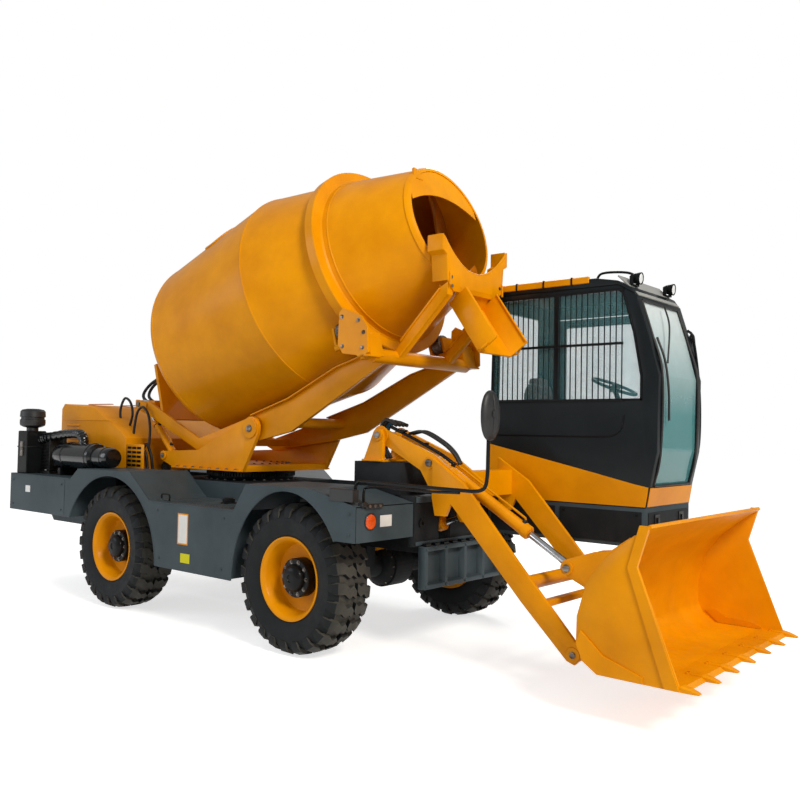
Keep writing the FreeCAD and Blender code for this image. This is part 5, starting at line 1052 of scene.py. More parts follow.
def makeSeat():
    s = seatSpec
    x, y = at(s["x"], s["y"], 0)[:2]
    parts = {"seat_cushion": ((x, y, 1.572), (0.205, 0.205, 0.052), 0.0),
             "seat_back": ((x - 0.195, y, 1.93), (0.045, 0.195, 0.27), 0.06),
             "seat_headrest": ((x - 0.185, y, 2.185), (0.036, 0.12, 0.045), 0.0)}
    for name, (centre, half, lean) in parts.items():
        piece = makePiece(name, *crownedForm(centre, half, lean), "chassis", "wovenCloth",
                          replaces=("seat",) if name == "seat_cushion" else ())
        inflate(piece, s["swell"])
    # piping round the cushion's edge
    t = np.linspace(0, 2 * math.pi, 60)
    ring = np.stack([x + 0.214 * signedPower(np.cos(t), 0.42), y + 0.214 * signedPower(np.sin(t), 0.42),
                     np.full(60, 1.6)], axis=1)
    makePiece("seat_piping", *closedTube(ring, 0.006, 8), "chassis", "mouldedBlack", slot="seat_cloth")
    stand = [block((1.02, 0.67, 1.236), (1.34, 0.99, 1.26)), block((1.06, 0.71, 1.26), (1.3, 0.95, 1.48)),
             block((1.0, 0.65, 1.48), (1.36, 1.01, 1.515))]
    plates("seat_stand", stand, "chassis", "mouldedBlack", 0.008)
    rest = [block((1.02, 0.575, 1.76), (1.3, 0.615, 1.8)), block((1.02, 1.045, 1.76), (1.3, 1.085, 1.8))]
    plates("arm_rests", rest, "chassis", "mouldedBlack", 0.012)


def makeSteering():
    place = np.array(at(1.72, 0.83, 2.145))
    t = turn(64)
    v = turn(14)
    r = 0.185 + 0.013 * np.cos(v)[None, :]
    tilt = math.radians(22)
    x, y, z = r * np.cos(t)[:, None], r * np.sin(t)[:, None], 0.013 * np.sin(v)[None,
        :] * np.ones_like(t)[:, None]
    ring = np.stack([x * math.cos(tilt) - z * math.sin(tilt), y, -x * math.sin(tilt) - z * math.cos(tilt)],
                    axis=-1) + place
    shapes = [(ring, gridFaces(64, 14, closeRows=True, closeColumns=True).tolist())]
    for a in (0.0, 2.1, -2.1):
        end = np.array([0.185 * math.cos(a) * math.cos(tilt), 0.185 * math.sin(a),
                        -0.185 * math.cos(a) * math.sin(tilt)])
        shapes.append(closedTube([place + [0, 0, -0.03], place + end * 0.5 + [0, 0, -0.018],
                                  place + end * 0.97], 0.01, 8))
    shapes.append(closedTube(np.array([at(1.8, 0.83, 1.94), place + [0, 0, -0.02]]), 0.02, 12))
    shapes.append(closedTube(np.array([place + [0.01, 0, -0.03], place + [-0.006, 0, 0.006]]), 0.045, 20))
    fixNormals(makePiece("steering", *joinShapes(shapes), "chassis", "mouldedBlack",
                         replaces=("steering_wheel",)))
    panel = [sheet([(1.735, 1.995), (1.93, 2.03), (1.94, 2.018), (1.74, 1.98)], 0.64, 1.02)]
    plates("dash_panel", panel, "chassis", "lampGrey", 0.004)
    for k, yy in enumerate((0.56, 1.1)):
        lever = onPlane(yy, [(1.42, 1.5), (1.45, 1.7), (1.47, 1.84)])
        tube("lever_%d" % k, lever, 0.009, "chassis", "chromedRod", count=14, around=10)
        lathe("lever_knob_%d" % k, [(0.0, 0.0), (0.002, 0.016), (0.015, 0.024), (0.032, 0.024),
                                    (0.046, 0.014), (0.049, 0.0)], at(1.467, yy, 1.83), (0.1, 0, 1),
              "chassis", "mouldedBlack", segments=24)
    plates("lever_boxes", [block((1.32, yy - 0.05, 1.24), (1.52, yy + 0.05, 1.52)) for yy in (0.56, 1.1)],
           "chassis", "mouldedBlack", 0.01)
    plates("pedals", [block((1.93, yy - 0.04, 1.26), (1.95, yy + 0.04, 1.4)) for yy in (0.72, 0.94)],
           "chassis", "hoseRubber", 0.004)


dressCab()
dressLamps()
dressMirrors()
makeSeat()
makeSteering()
print("cab dressed")


# engine hood and bay
hoodSpec = dict(half=0.7, slatPitch=0.036)


def louvre(x0, x1, z, y, sign, drop=0.018, out=0.012):
    # pressed louvre: leans out from its upper edge and stops at a lower lip
    return [(x0, y, z), (x1, y, z), (x1, y + sign * out, z - drop), (x0, y + sign * out, z - drop),
            (x0, y, z - drop - 0.003), (x1, y, z - drop - 0.003)]


def louvreBank(name, x0, x1, top, rows, y, sign):
    points, faces = [], []
    slat = [[0, 1, 2, 3], [3, 2, 5, 4], [0, 3, 4], [1, 5, 2], [0, 4, 5, 1]]
    for k in range(rows):
        points += [at(*p) for p in louvre(x0, x1, top - k * hoodSpec["slatPitch"], y, sign)]
        faces += [[i + 6 * k for i in (face if sign < 0 else face[::-1])] for face in slat]
    makePiece(name, points, faces, "hood", "machineEnamel", smooth=False)


def dressHood():
    for side, sign in sides:
        y = sign * hoodSpec["half"]
        louvreBank("hood_louvres_" + side, -4.3, -4.03, 1.76, 8, y, sign)
        slots = [block((x, y, z), (x + 0.072, y + sign * 0.004, z + 0.024))
                 for x in (-3.045, -2.957, -2.869) for z in np.arange(1.285, 1.52, 0.045)]
        plates("grille_slots_" + side, slots, "chassis", "blackPaint")
        seam = [block((-4.41, y, 1.8), (-3.3, y + sign * 0.005, 1.812)),
                block((-3.7, y, 1.3), (-3.6, y + sign * 0.02, 1.33))]
        plates("hood_seam_" + side, seam, "hood", "machineEnamel", 0.002)
        latches = [block((x, y, 1.305), (x + 0.035, y + sign * 0.016, 1.4)) for x in (-4.28, -3.3)]
        plates("hood_latches_" + side, latches, "hood", "blackPaint", slot="yellow_paint")
        grip = [(-3.95, y, 1.42), (-3.95, y + sign * 0.035, 1.42), (-3.8, y + sign * 0.035, 1.42),
                (-3.8, y, 1.42)]
        tube("hood_grip_" + side, grip, 0.008, "hood", "blackPaint", count=30, around=10, slot="yellow_paint")
    bars = [block((-4.44, -0.56, z), (-4.43, 0.56, z + 0.014)) for z in np.arange(1.34, 1.86, 0.042)]
    bars += [block((-4.446, yy - 0.012, 1.32), (-4.43, yy + 0.012, 1.88))
             for yy in (-0.57, -0.19, 0.19, 0.57)]
    plates("rear_grille", bars, "hood", "blackPaint", 0.002, slot="yellow_paint")
    plates("hood_top_ribs", [block((-4.3, yy - 0.03, 1.988), (-3.85, yy + 0.03, 1.998))
                             for yy in (-0.42, 0.0, 0.42)], "hood", "machineEnamel", 0.005)


def dressCleaner():
    # air filter: wide can with rolled bands, a narrower end that passes over the wheel arch
    x, y, z = -3.88, -0.985, 1.42
    can = [(0.0, 0.0), (0.004, 0.09), (0.03, 0.128), (0.06, 0.138), (0.2, 0.138), (0.206, 0.1445),
           (0.226, 0.1445), (0.232, 0.138), (0.66, 0.138), (0.666, 0.1445), (0.7, 0.1445), (0.706, 0.138),
           (0.745, 0.134), (0.765, 0.104), (0.9, 0.102), (0.906, 0.108), (0.93, 0.108), (0.936, 0.102),
           (1.02, 0.1), (1.04, 0.088), (1.047, 0.05), (1.049, 0.0)]
    lathe("filter_can", can, at(x, y, z), (1, 0, 0), "chassis", "glossBlack", segments=64,
          replaces=("air_cleaner",))
    # induction pipe: from the tall cleaner box along and down into the can
    duct = smoothPath([at(-4.24, -1.03, 1.585), at(-4.1, -1.01, 1.61), at(-3.75, -0.99, 1.65),
                       at(-3.52, y, 1.655), at(-3.43, y, 1.6), at(-3.42, y, 1.5)], 64)
    swell = 0.05 + 0.003 * np.sin(np.arange(64) * 1.9)
    makePiece("filter_duct", *closedTube(duct, swell, 24), "chassis", "glossBlack")
    plates("cleaner_box",
           [block((-4.44, -1.2, 1.21), (-4.23, -0.98, 1.675)),
            block((-4.446, -1.206, 1.49), (-4.224, -0.974, 1.51))], "chassis", "blackPaint", 0.018,
           slot="black_plastic")
    plates("cleaner_latch", [block((-4.36, -1.214, 1.4), (-4.31, -1.198, 1.56))], "chassis", "wornSteel",
           slot="black_plastic")
    cap = [(0.0, 0.0), (0.0, 0.062), (0.035, 0.062), (0.045, 0.1), (0.06, 0.128), (0.085, 0.134),
           (0.125, 0.132), (0.13, 0.122), (0.15, 0.122), (0.155, 0.134), (0.215, 0.13), (0.235, 0.112),
           (0.245, 0.06), (0.247, 0.0)]
    lathe("cleaner_cap", cap, at(-4.335, -1.09, 1.675), (0, 0, 1), "chassis", "mouldedBlack", segments=48)
    straps = [block((sx, y - 0.1, 1.208), (sx + 0.05, y + 0.1, 1.29)) for sx in (x + 0.12, x + 0.56)]
    plates("filter_feet", straps, "chassis", "blackPaint", 0.004, slot="black_plastic")
    # oil cooler: header tanks with finned core between
    c = -4.15
    fins = [block((c - 0.11, -1.035, 1.25 + k * 0.016), (c + 0.11, -0.845, 1.254 + k * 0.016))
            for k in range(23)]
    fins += [block((c - 0.118, -1.04, 1.212), (c + 0.118, -0.842, 1.24)),
             block((c - 0.118, -1.04, 1.635), (c + 0.118, -0.842, 1.66)),
             block((c - 0.118, -1.038, 1.25), (c - 0.106, -0.845, 1.65)),
             block((c + 0.106, -1.038, 1.25), (c + 0.118, -0.845, 1.65)),
             block((c - 0.09, -1.0, 1.26), (c + 0.09, -0.88, 1.645))]
    plates("cooler_core", fins, "chassis", "castIron", 0.0, slot="black_plastic", replaces=("oil_cooler",))
    tube("cooler_hose", [(-4.03, -0.9, 1.52), (-3.96, -0.86, 1.66), (-3.86, -0.78, 1.66),
                         (-3.8, -0.72, 1.52)], 0.018, "chassis")
    tube("cooler_hose_low", [(-4.03, -0.98, 1.3), (-3.97, -0.9, 1.33), (-3.9, -0.8, 1.34),
                             (-3.84, -0.71, 1.34)], 0.018, "chassis")
    # drive hoses: from the drum motor down to the frame's tail, and along the deck
    for k, (y0, y1, x1) in enumerate(((-0.1, -0.3, -3.42), (-0.04, -0.2, -3.46), (0.06, 0.12, -3.44))):
        tube("motor_hose_%d" % k, [(-3.06, y0, 2.27), (-3.26, y0 - 0.03, 2.31), (x1, (y0 + y1) / 2, 2.22),
                                   (x1 + 0.02, y1, 2.08), (-3.2, y1, 1.98), (-3.03, y1, 1.975)], 0.017,
             "cradle")
    for k, y in enumerate((-0.64, -0.58, -0.52)):
        tube("deck_hose_%d" % k, [(-3.1, y, 1.34), (-2.99, y, 1.5 + 0.03 * k), (-2.9, y + 0.01, 1.44),
                                  (-2.88, y + 0.02, 1.3), (-2.8, y + 0.02, 1.262), (-2.6, y + 0.03, 1.262)],
             0.016, "chassis")
    # two feed loops stand out of the hood's front end
    tube("feed_loop_0",
         onPlane(-0.5, [(-3.42, 1.7), (-3.515, 1.82), (-3.525, 1.94), (-3.45, 2.05), (-3.34, 2.01),
                        (-3.29, 1.88), (-3.35, 1.72)]), 0.0135, "hood", count=110)
    tube("feed_loop_1",
         onPlane(-0.56, [(-3.17, 1.55), (-3.15, 1.74), (-3.1, 1.9), (-3.0, 1.95), (-2.9, 1.87),
                         (-2.86, 1.72), (-2.87, 1.52)]), 0.0135, "turntable", count=110)
    lathe("hose_junction", [(0.0, 0.0), (0.0, 0.05), (0.1, 0.05), (0.11, 0.04), (0.13, 0.04), (0.13, 0.0)],
          at(-3.0, -0.25, 1.24), (0, 0, 1), "chassis", "castIron", segments=28, slot="black_steel")


dressHood()
dressCleaner()
print("engine bay dressed")


# side plating, deck and rack
platingSpec = dict(face=1.25, inner=0.6, hoodSide=0.712, wall=0.012,
                   top=[(-4.47, 1.21), (-3.19, 1.21), (-3.05, 1.312), (-2.13, 1.322), (-1.8, 1.077),
                        (-0.6, 1.077), (-0.455, 1.296), (0.28, 1.3), (0.76, 1.196)],
                   arches=dict(rear=(-2.475, 0.5, 0.79, 0.77), front=(0.02, 0.5, 0.64, 0.77)))


def archLine(which, zStart, zEnd, count=30):
    # half an ellipse over the wheel, from its rear foot at one height to its front foot at another
    cx, cz, rx, rz = platingSpec["arches"][which]
    start, end = math.pi - math.asin((zStart - cz) / rz), math.asin((zEnd - cz) / rz)
    t = np.linspace(start, end, count)
    return [(cx + rx * math.cos(v), cz + rz * math.sin(v)) for v in t]


def makePlating(side, sign):
    # skirt with two arches, a folded top sheet that rises over each wheel, and the boxes behind
    s = platingSpec
    face, wall = s["face"], s["wall"]
    arches = archLine("rear", 0.816, 0.5) + archLine("front", 0.5, 0.934)
    outline = [(-4.47, 0.816)] + arches + [(0.76, 0.934)] + s["top"][::-1]
    shapes = [sheet(outline, sign * face, sign * (face - wall))]
    for (x0, z0), (x1, z1) in zip(s["top"], s["top"][1:]):
        inner = s["hoodSide"] if x1 < -2.0 and x0 > -4.0 else s["inner"]
        quad = [(x0, z0), (x1, z1), (x1, z1 - wall), (x0, z0 - wall)]
        shapes.append(sheet(quad, sign * (face - 0.002), sign * inner))
    walls = [[(-3.19, 1.205), (-3.05, 1.306), (-2.13, 1.316), (-2.02, 1.235), (-2.02, 1.2), (-3.19, 1.2)],
             [(-0.5, 1.235), (-0.455, 1.29), (0.28, 1.294), (0.52, 1.242), (0.52, 1.2), (-0.5, 1.2)]]
    for outline in walls:
        inner = s["hoodSide"] if outline[0][0] < -2.0 else s["inner"]
        shapes.append(sheet(outline, sign * inner, sign * (inner + 0.01)))
    shapes.append(block((0.748, sign * 1.248, 0.934), (0.76, sign * 0.6, 1.198)))
    for low, high, zLow, zHigh, depth in ((-4.47, -3.2, 0.816, 1.204, 0.52), (-1.645, -0.68, 0.5, 1.07, 0.4)):
        shapes.append(block((low, sign * 1.246, zLow), (high, sign * (face - depth), zHigh)))
    # step between the low box and the deck
    shapes.append(block((-2.02, sign * 0.6, 0.9), (-0.5, sign * 0.61, 1.236)))
    shapes.append(sheet([(-4.28, 0.82), (-4.16, 0.69), (-3.34, 0.69), (-3.26, 0.82)], sign * 0.9, sign * 0.6))
    plates("plating_" + side, shapes, "chassis", "platingPaint", replaces=(side + "_guard",))


def dressPlating():
    y = -platingSpec["face"]
    for side, sign in sides:
        makePlating(side, sign)
        face = sign * platingSpec["face"]
        # rolled bead round each arch, raised seams and bolts, ribbed treads on the low step
        for name, zStart, zEnd in (("front", 0.505, 0.93), ("rear", 0.82, 0.505)):
            rim = [at(x, face - sign * 0.004, z) for x, z in archLine(name, zStart, zEnd, 44)]
            makePiece("arch_bead_%s_%s" % (name, side), *closedTube(rim, 0.008, 8), "chassis", "platingPaint")
        seams = [block((-3.303, face, 0.84), (-3.297, face + sign * 0.003, 1.19)),
                 block((-4.46, face, 1.196), (-3.2, face + sign * 0.003, 1.206)),
                 block((-1.78, face, 1.064), (-0.61, face + sign * 0.003, 1.074))]
        plates("plating_seams_" + side, seams, "chassis", "platingPaint", 0.001)
        spots = [at(x, face, z) for x, z in [(-4.4, 0.88), (-4.4, 1.14), (-3.36, 0.88), (-3.36, 1.14),
                     (-1.62, 0.58), (-1.66, 1.0), (-0.74, 0.58), (-0.72, 1.0), (0.7, 0.99), (0.7, 1.14)]]
        bolts("plating_bolts_" + side, spots, (0, sign, 0), "chassis", "platingPaint", size=0.7)
        tread = [block((x, sign * 0.66, 1.077), (x + 0.014, sign * 1.2, 1.0805))
                 for x in np.arange(-1.7, -0.7, 0.055)]
        plates("step_tread_" + side, tread, "chassis", "platingPaint", 0.0)
        loop = onPlane(sign * 1.17, [(-1.72, 1.095), (-1.72, 1.125), (-1.7, 1.137), (-1.62, 1.137),
                                     (-1.6, 1.125), (-1.6, 1.072)])
        tube("plating_grip_" + side, loop, 0.008, "chassis", "blackPaint", count=30, around=10)
    # blank signs
    for name, low, high, finish, bevel in (
            ("blank_plate", (-1.34, y - 0.003, 0.74), (-1.215, y, 0.985), "plateWhite", 0.002),
            ("blank_plate_edge", (-1.352, y - 0.0022, 0.728), (-1.203, y, 0.997), "machineEnamel", 0.001),
            ("small_plate", (-1.3, y - 0.003, 0.575), (-1.17, y, 0.655), "signEnamel", 0.001),
            ("nose_plate", (0.76, -0.985, 1.035), (0.764, -0.855, 1.12), "plateWhite", 0.002),
            ("rear_small_plate", (-4.12, y - 0.003, 1.02), (-4.02, y, 1.09), "plateWhite", 0.001)):
        plates(name, [block(low, high)], "chassis", finish, bevel)
    # rear lamps and filler cap
    for side, sign in sides:
        lathe("tail_lamp_" + side, [(0.0, 0.0), (0.0, 0.05), (0.012, 0.05), (0.016, 0.044), (0.019, 0.03),
                                    (0.02, 0.0)], at(-4.47, sign * 1.05, 1.05), (-1, 0, 0), "chassis",
              "orangeLens", segments=36)
    lathe("filler_cap", [(0.0, 0.0), (0.0, 0.07), (0.012, 0.07), (0.014, 0.055), (0.045, 0.055),
                         (0.052, 0.048), (0.052, 0.0)], at(-1.1, -0.9, 1.077), (0, 0, 1), "chassis",
          "blackPaint", segments=40, slot="grey_paint")
    # black marker boxes at the fender's corner and the brace beside the mirror's arm
    boxes = [block((0.5, -1.256, 1.225), (0.735, -1.19, 1.315)),
             block((0.762, -1.16, 1.178), (0.782, -0.97, 1.212)),
             block((0.735, -1.2, 1.19), (0.782, -1.14, 1.225))]
    plates("corner_boxes", boxes, "chassis", "mouldedBlack", 0.006)
    tube("mirror_brace", [(0.7, -1.1, 1.205), (0.7, -1.1, 1.29), (0.72, -1.09, 1.325), (0.9, -1.1, 1.335),
                          (1.3, -1.14, 1.335), (1.62, -1.18, 1.345)], 0.01, "chassis", "blackPaint",
         count=70, around=12)
    eyes = [prism(discOutline(yy, 1.195, 0.012, 12), 0.782 + frontAxleX, 0.786 + frontAxleX, "x")
            for yy in (-1.12, -1.065, -1.01)]
    plates("corner_eyes", eyes, "chassis", "wornSteel", 0.0, slot="black_plastic")


def dressRack():
    cell = (1.06 - 5 * 0.035) / 4
    back = [block((0.764, -0.5, 0.55), (0.769, 0.5, 0.82))]
    plates("rack_back", back, "chassis", "platingPaint", 0.001)
    caps = [block((0.775, -0.5 + k * 0.115, 0.851), (0.815, -0.44 + k * 0.115, 0.872)) for k in range(9)]
    plates("rack_top_studs", caps, "chassis", "blackPaint", 0.004)
    spots = [at(0.83, -0.5125 + k * (0.035 + cell), z) for k in range(5) for z in (0.541, 0.833)]
    bolts("rack_bolts", spots, (1, 0, 0), "chassis", "platingPaint", size=0.8)
    plates("nose_face_trim",
           [block((0.76, -0.57, 1.19), (0.768, 0.4, 1.235)),
            block((0.76, -0.57, 0.86), (0.768, 0.57, 0.89))], "chassis", "platingPaint")
    for k, yy in enumerate((-0.5, 0.36)):
        lathe("nose_eye_%d" % k, [(0.0, 0.0), (0.0, 0.035), (0.012, 0.035), (0.012, 0.015), (0.004, 0.015),
                                  (0.004, 0.0)], at(0.764, yy, 1.03), (1, 0, 0), "chassis", "blackPaint",
              segments=24)


dressPlating()
dressRack()
print("plating dressed")


# hydraulic cylinders
def dressCylinder(name, base, eye, y, radius, length, tubeBody):
    # gland ring, end cap, two ports with their feed pipe, and a wiper ring on the rod
    base, eye = (np.array(at(pins[pin][0], y, pins[pin][1])) for pin in (base, eye))
    d = (eye - base) / np.linalg.norm(eye - base)
    up = np.array([-d[2], 0.0, d[0]]) * (1 if d[0] > 0 else -1)
    end = 0.025 + length
    gland = [(end + a, radius + b) for a, b in ((-0.055, -0.002), (-0.055, 0.007), (-0.008, 0.007),
                 (-0.001, 0.001), (-0.001, -0.02), (0.01, -0.022), (0.01, -0.034))]
    fixNormals(lathe(name + "_gland", gland, base, d, tubeBody, "machineEnamel", segments=40))
    cap = [(0.045, radius - 0.002), (0.045, radius + 0.005), (0.075, radius + 0.005), (0.078, radius - 0.002)]
    fixNormals(lathe(name + "_cap", cap, base, d, tubeBody, "machineEnamel", segments=40))
    stops = ((0.12, -0.004), (0.12, 0.024), (0.17, 0.03), (length * 0.55, 0.03), (length - 0.1, 0.03),
             (length - 0.055, 0.024), (length - 0.05, -0.004))
    line = [base + d * along + up * (radius + rise) for along, rise in stops]
    makePiece(name + "_pipe", *closedTube(smoothPath(line, 60), 0.008, 10), tubeBody, "machineEnamel")
    port = [(radius + rise, r) for rise, r in ((-0.006, 0.0), (-0.006, 0.018), (0.012, 0.018),
                (0.014, 0.014), (0.022, 0.014), (0.022, 0.0))]
    for k, place in enumerate((0.12, length - 0.05)):
        lathe("%s_port_%d" % (name, k), port, base + d * place, up, tubeBody, "castIron", segments=16)


dressCylinder("bucket_ram", "ramFoot", "ramEye", -0.43, 0.046, 0.92, "bucket_tube")
dressCylinder("lift_ram", "liftFoot", "liftEye", -0.2, 0.05, 0.95, "lift_tube")
for side, sign in sides:
    dressCylinder("tilt_ram_" + side, "tiltFoot", "tiltEye", sign * 0.43, 0.036, 0.47, "tilt_tubes")
print("cylinders dressed")


# loader tower and boom
def dressLoader():
    for name, y, sign in (("near", -0.6, -1.0), ("far", -0.26, 1.0)):
        reinforce("tower_boss_" + name, [discOutline(*pins["tower"], 0.048)], y, sign * 0.01, "chassis")
        reinforce("tower_pin_" + name, [discOutline(*pins["tower"], 0.027, 20)], y + sign * 0.01,
                  sign * 0.01, "chassis", "wornSteel")
        gusset = [sheet([(0.235, 1.5), (0.425, 1.5), (0.425, 1.515), (0.235, 1.515)], y, y + sign * 0.03)]
        plates("tower_lip_" + name, gusset, "chassis", "machineEnamel")
    bolts("tower_bolts", [at(x, y, 1.513) for x in (0.25, 0.41) for y in (-0.56, -0.3)], (0, 0, 1), "chassis")
    for name, y, sign in (("near", -0.59, -1.0), ("far", 0.33, 1.0)):
        reinforce("arm_bosses_" + name, [discOutline(*pins["bucket"], 0.05)], y, sign * 0.008, "boom")
        reinforce("arm_pins_" + name, [discOutline(*pins["bucket"], 0.022, 20)], y + sign * 0.008,
                  sign * 0.01, "boom", "wornSteel")
    reinforce("root_boss", [discOutline(*pins["tower"], 0.075), discOutline(*pins["ramFoot"], 0.05)], -0.56,
              -0.01, "boom")
    reinforce("root_pins", [discOutline(*pins["ramFoot"], 0.03, 20)], -0.572, -0.012, "boom", "wornSteel")
    tubeRing = [(0.0, 0.05), (0.0, 0.06), (0.014, 0.06), (0.014, 0.05)]
    for k, yy in enumerate((-0.56, 0.286)):
        fixNormals(lathe("cross_tube_collar_%d" % k, tubeRing, at(1.755, yy, 0.7), (0, 1, 0), "boom",
                         "machineEnamel", segments=32))
    # steel pipes and hoses: from the tower over the root, along the far side of the near arm to the ram
    for k, yy in enumerate((-0.545, -0.52)):
        path = onPlane(yy, [(0.46, 1.775 + 0.004 * k), (0.7, 1.685), (0.93, 1.59), (1.0, 1.555), (1.1, 1.5)])
        tube("root_pipe_%d" % k, path, 0.009, "boom", "blackPaint", count=50, around=10, slot="dark_steel")
    for k in range(4):
        yy = -0.34 - 0.045 * k
        path = onPlane(yy, [(0.3, 1.52), (0.24, 1.62), (0.27 + 0.01 * k, 1.77), (0.36, 1.815 + 0.006 * k),
                            (0.47, 1.79)])
        tube("tower_hose_%d" % k, path, 0.015, "chassis", count=50, around=12)
    tube("hose_sleeve", onPlane(-0.385, [(0.262, 1.7), (0.285, 1.78), (0.33, 1.812)]), 0.0185, "chassis",
         "blueSleeve", count=16, around=14)
    for k in range(2):
        path = [(0.6, -0.47 + 0.05 * k, 1.725), (0.74, -0.47 + 0.05 * k, 1.74),
                (0.92, -0.46 + 0.04 * k, 1.66), (1.02, -0.45 + 0.03 * k, 1.585),
                (1.08, -0.44 + 0.02 * k, 1.5)]
        tube("ram_hose_%d" % k, path, 0.013, "boom", count=50, around=12)
    clamps = [block((x, -0.555, z), (x + 0.03, -0.505, z + 0.018)) for x, z in ((0.58, 1.735), (0.8, 1.64))]
    plates("pipe_clamps", clamps, "boom", "blackPaint", 0.002, slot="dark_steel")


# bucket
bucketSpec = dict(half=0.97, teeth=7, toothWidth=0.07)


def toothShape():
    # cast tooth: a wedge that narrows to its point, with a raised keel and an eye plate over the edge
    x = np.array([-0.075, 0.0, 0.045, 0.08, 0.099])
    halfWidth = np.array([0.034, 0.0345, 0.031, 0.026, 0.02])
    top = np.array([0.03, 0.036, 0.027, 0.015, 0.0055])
    low = np.array([0.0165, 0.0, 0.0, 0.0, 0.0])
    corner = np.array([(-1, 0), (-1, 0.75), (-0.62, 1), (0.62, 1), (1, 0.75), (1, 0)])
    y = halfWidth[:, None] * corner[None, :, 0]
    z = low[:, None] + (top - low)[:, None] * corner[None, :, 1]
    points = np.stack([np.broadcast_to(x[:, None], y.shape), y, z], axis=-1)
    faces = gridFaces(5, 6, closeColumns=True)[:, ::-1].tolist() + [[0, 1, 2, 3, 4, 5],
        [29, 28, 27, 26, 25, 24]]
    return points.reshape(-1, 3), faces


def dressBucket():
    s = bucketSpec
    pitch = (2 * s["half"] - s["toothWidth"]) / (s["teeth"] - 1)
    tooth, faces = toothShape()
    middles = [-s["half"] + s["toothWidth"] / 2 + k * pitch for k in range(s["teeth"])]
    teeth = joinShapes([(tooth + at(3.025, y, 0.3), faces) for y in middles])
    fixNormals(makePiece("teeth", *teeth, "bucket_body", "machineEnamel", smooth=False,
                         replaces=("bucket_teeth",)))
    edge = [sheet([(2.86, 0.314), (3.022, 0.314), (3.022, 0.3), (3.05, 0.3), (3.05, 0.304), (3.024, 0.324),
                   (2.86, 0.324)], -0.968, 0.968)]
    plates("cutting_edge", edge, "bucket_body", "machineEnamel", 0.0015)
    bolts("edge_bolts", [at(2.93, y + d, 0.324) for y in middles for d in (-0.02, 0.02)], (0, 0, 1),
          "bucket_body", "machineEnamel", size=0.7)
    # side cutters along both open edges, doubled heel corners, a rolled lip on top
    for name, y, sign in (("right", -0.97, -1.0), ("left", 0.97, 1.0)):
        depth = sign * 0.01
        strip = [(3.02, 0.302), (2.93, 0.302), (2.7, 0.965), (2.775, 1.215), (2.838, 1.215), (2.762, 0.97)]
        heel = [(2.55, 0.302), (2.8, 0.302), (2.8, 0.34), (2.55, 0.42), (2.4, 0.55), (2.368, 0.47),
                (2.412, 0.366), (2.51, 0.302)]
        reinforce("side_cutter_" + name, [strip, heel], y, depth, "bucket_body", bevel=0.002)
    for name, y, sign in (("right", -0.954, 1.0), ("left", 0.954, -1.0)):
        reinforce("inner_corner_" + name,
                  [[(2.54, 0.318), (2.9, 0.318), (2.8, 0.36), (2.6, 0.375), (2.52, 0.42), (2.44, 0.4)]], y,
                  sign * 0.006, "bucket_body", bevel=0.001)
    tube("bucket_lip", [(2.834, -0.966, 1.21), (2.834, 0.0, 1.21), (2.834, 0.966, 1.21)], 0.012,
         "bucket_body", "machineEnamel", count=12, around=12)
    # ribs behind the back plate
    back = np.array([(2.412, 0.366), (2.367, 0.461), (2.372, 0.63), (2.432, 0.84), (2.557, 1.0),
                     (2.702, 1.12)])
    out = np.array([(2.385, 0.345), (2.335, 0.458), (2.34, 0.64), (2.402, 0.862), (2.536, 1.03),
                    (2.69, 1.14)])
    quads = [[back[k], back[k + 1], out[k + 1], out[k]] for k in range(5)]
    ribs = [sheet(quad, yy - 0.008, yy + 0.008) for yy in (-0.85, -0.05, 0.55, 0.85) for quad in quads]
    plates("bucket_ribs", ribs, "bucket_body", "machineEnamel", 0.0015)
    lift = np.array([0.014, -0.006])
    band = [sheet([back[4], back[5], out[5] + lift, out[4] + lift], -0.955, 0.955)]
    plates("bucket_back_band", band, "bucket_body", "machineEnamel", 0.002)
    reinforce("ear_bosses", [discOutline(*pins["ramEye"], 0.048)], -0.496, -0.01, "bucket_body")
    reinforce("ear_boss_pins", [discOutline(*pins["ramEye"], 0.027, 20)], -0.506, -0.01, "bucket_body",
              "wornSteel")


dressLoader()
dressBucket()
print("loader dressed")


# axles and frame
def dressAxles():
    for name, cx in (("front", 0.0), ("rear", rearAxleX)):
        cover = [(0.0, 0.0), (0.0, 0.175), (0.012, 0.175), (0.02, 0.165), (0.045, 0.15), (0.075, 0.105),
                 (0.085, 0.05), (0.087, 0.0)]
        for k, sign in enumerate((-1.0, 1.0)):
            lathe("%s_axle_cover_%d" % (name, k), cover, at(cx, sign * 0.11, wheelSpec["radius"]),
                  (0, sign, 0), "chassis", "chassisPaint", segments=48)
            bolts("%s_cover_bolts_%d" % (name, k),
                  circlePoints(at(cx, sign * 0.122, wheelSpec["radius"]), (0, sign, 0), 0.162, 12),
                  (0, sign, 0), "chassis", size=0.8)
        tube(name + "_tie_rod", [(cx - 0.16, -0.62, 0.6), (cx - 0.16, 0.0, 0.6), (cx - 0.16, 0.62, 0.6)],
             0.018, "chassis", "chassisPaint", count=10, around=12)
    for k, y in enumerate((-0.05, 0.05)):
        tube("brake_line_%d" % k,
             onPlane(y, [(-2.36, 0.8), (-1.9, 0.84), (-1.2, 0.84), (-0.6, 0.84), (-0.16, 0.8)]), 0.009,
             "chassis", count=50, around=10)
    shaft = onPlane(0.0, [(-2.33, 0.6), (-1.26, 0.62), (-0.19, 0.6)])
    tube("drive_shaft", shaft, 0.038, "chassis", "chassisPaint", count=30, around=18)
    box = [block((-1.42, -0.16, 0.5), (-1.1, 0.16, 0.76)), block((-1.45, -0.1, 0.56), (-1.07, 0.1, 0.7))]
    plates("transfer_box", box, "chassis", "castIron", 0.02)


dressAxles()
print("axles dressed")


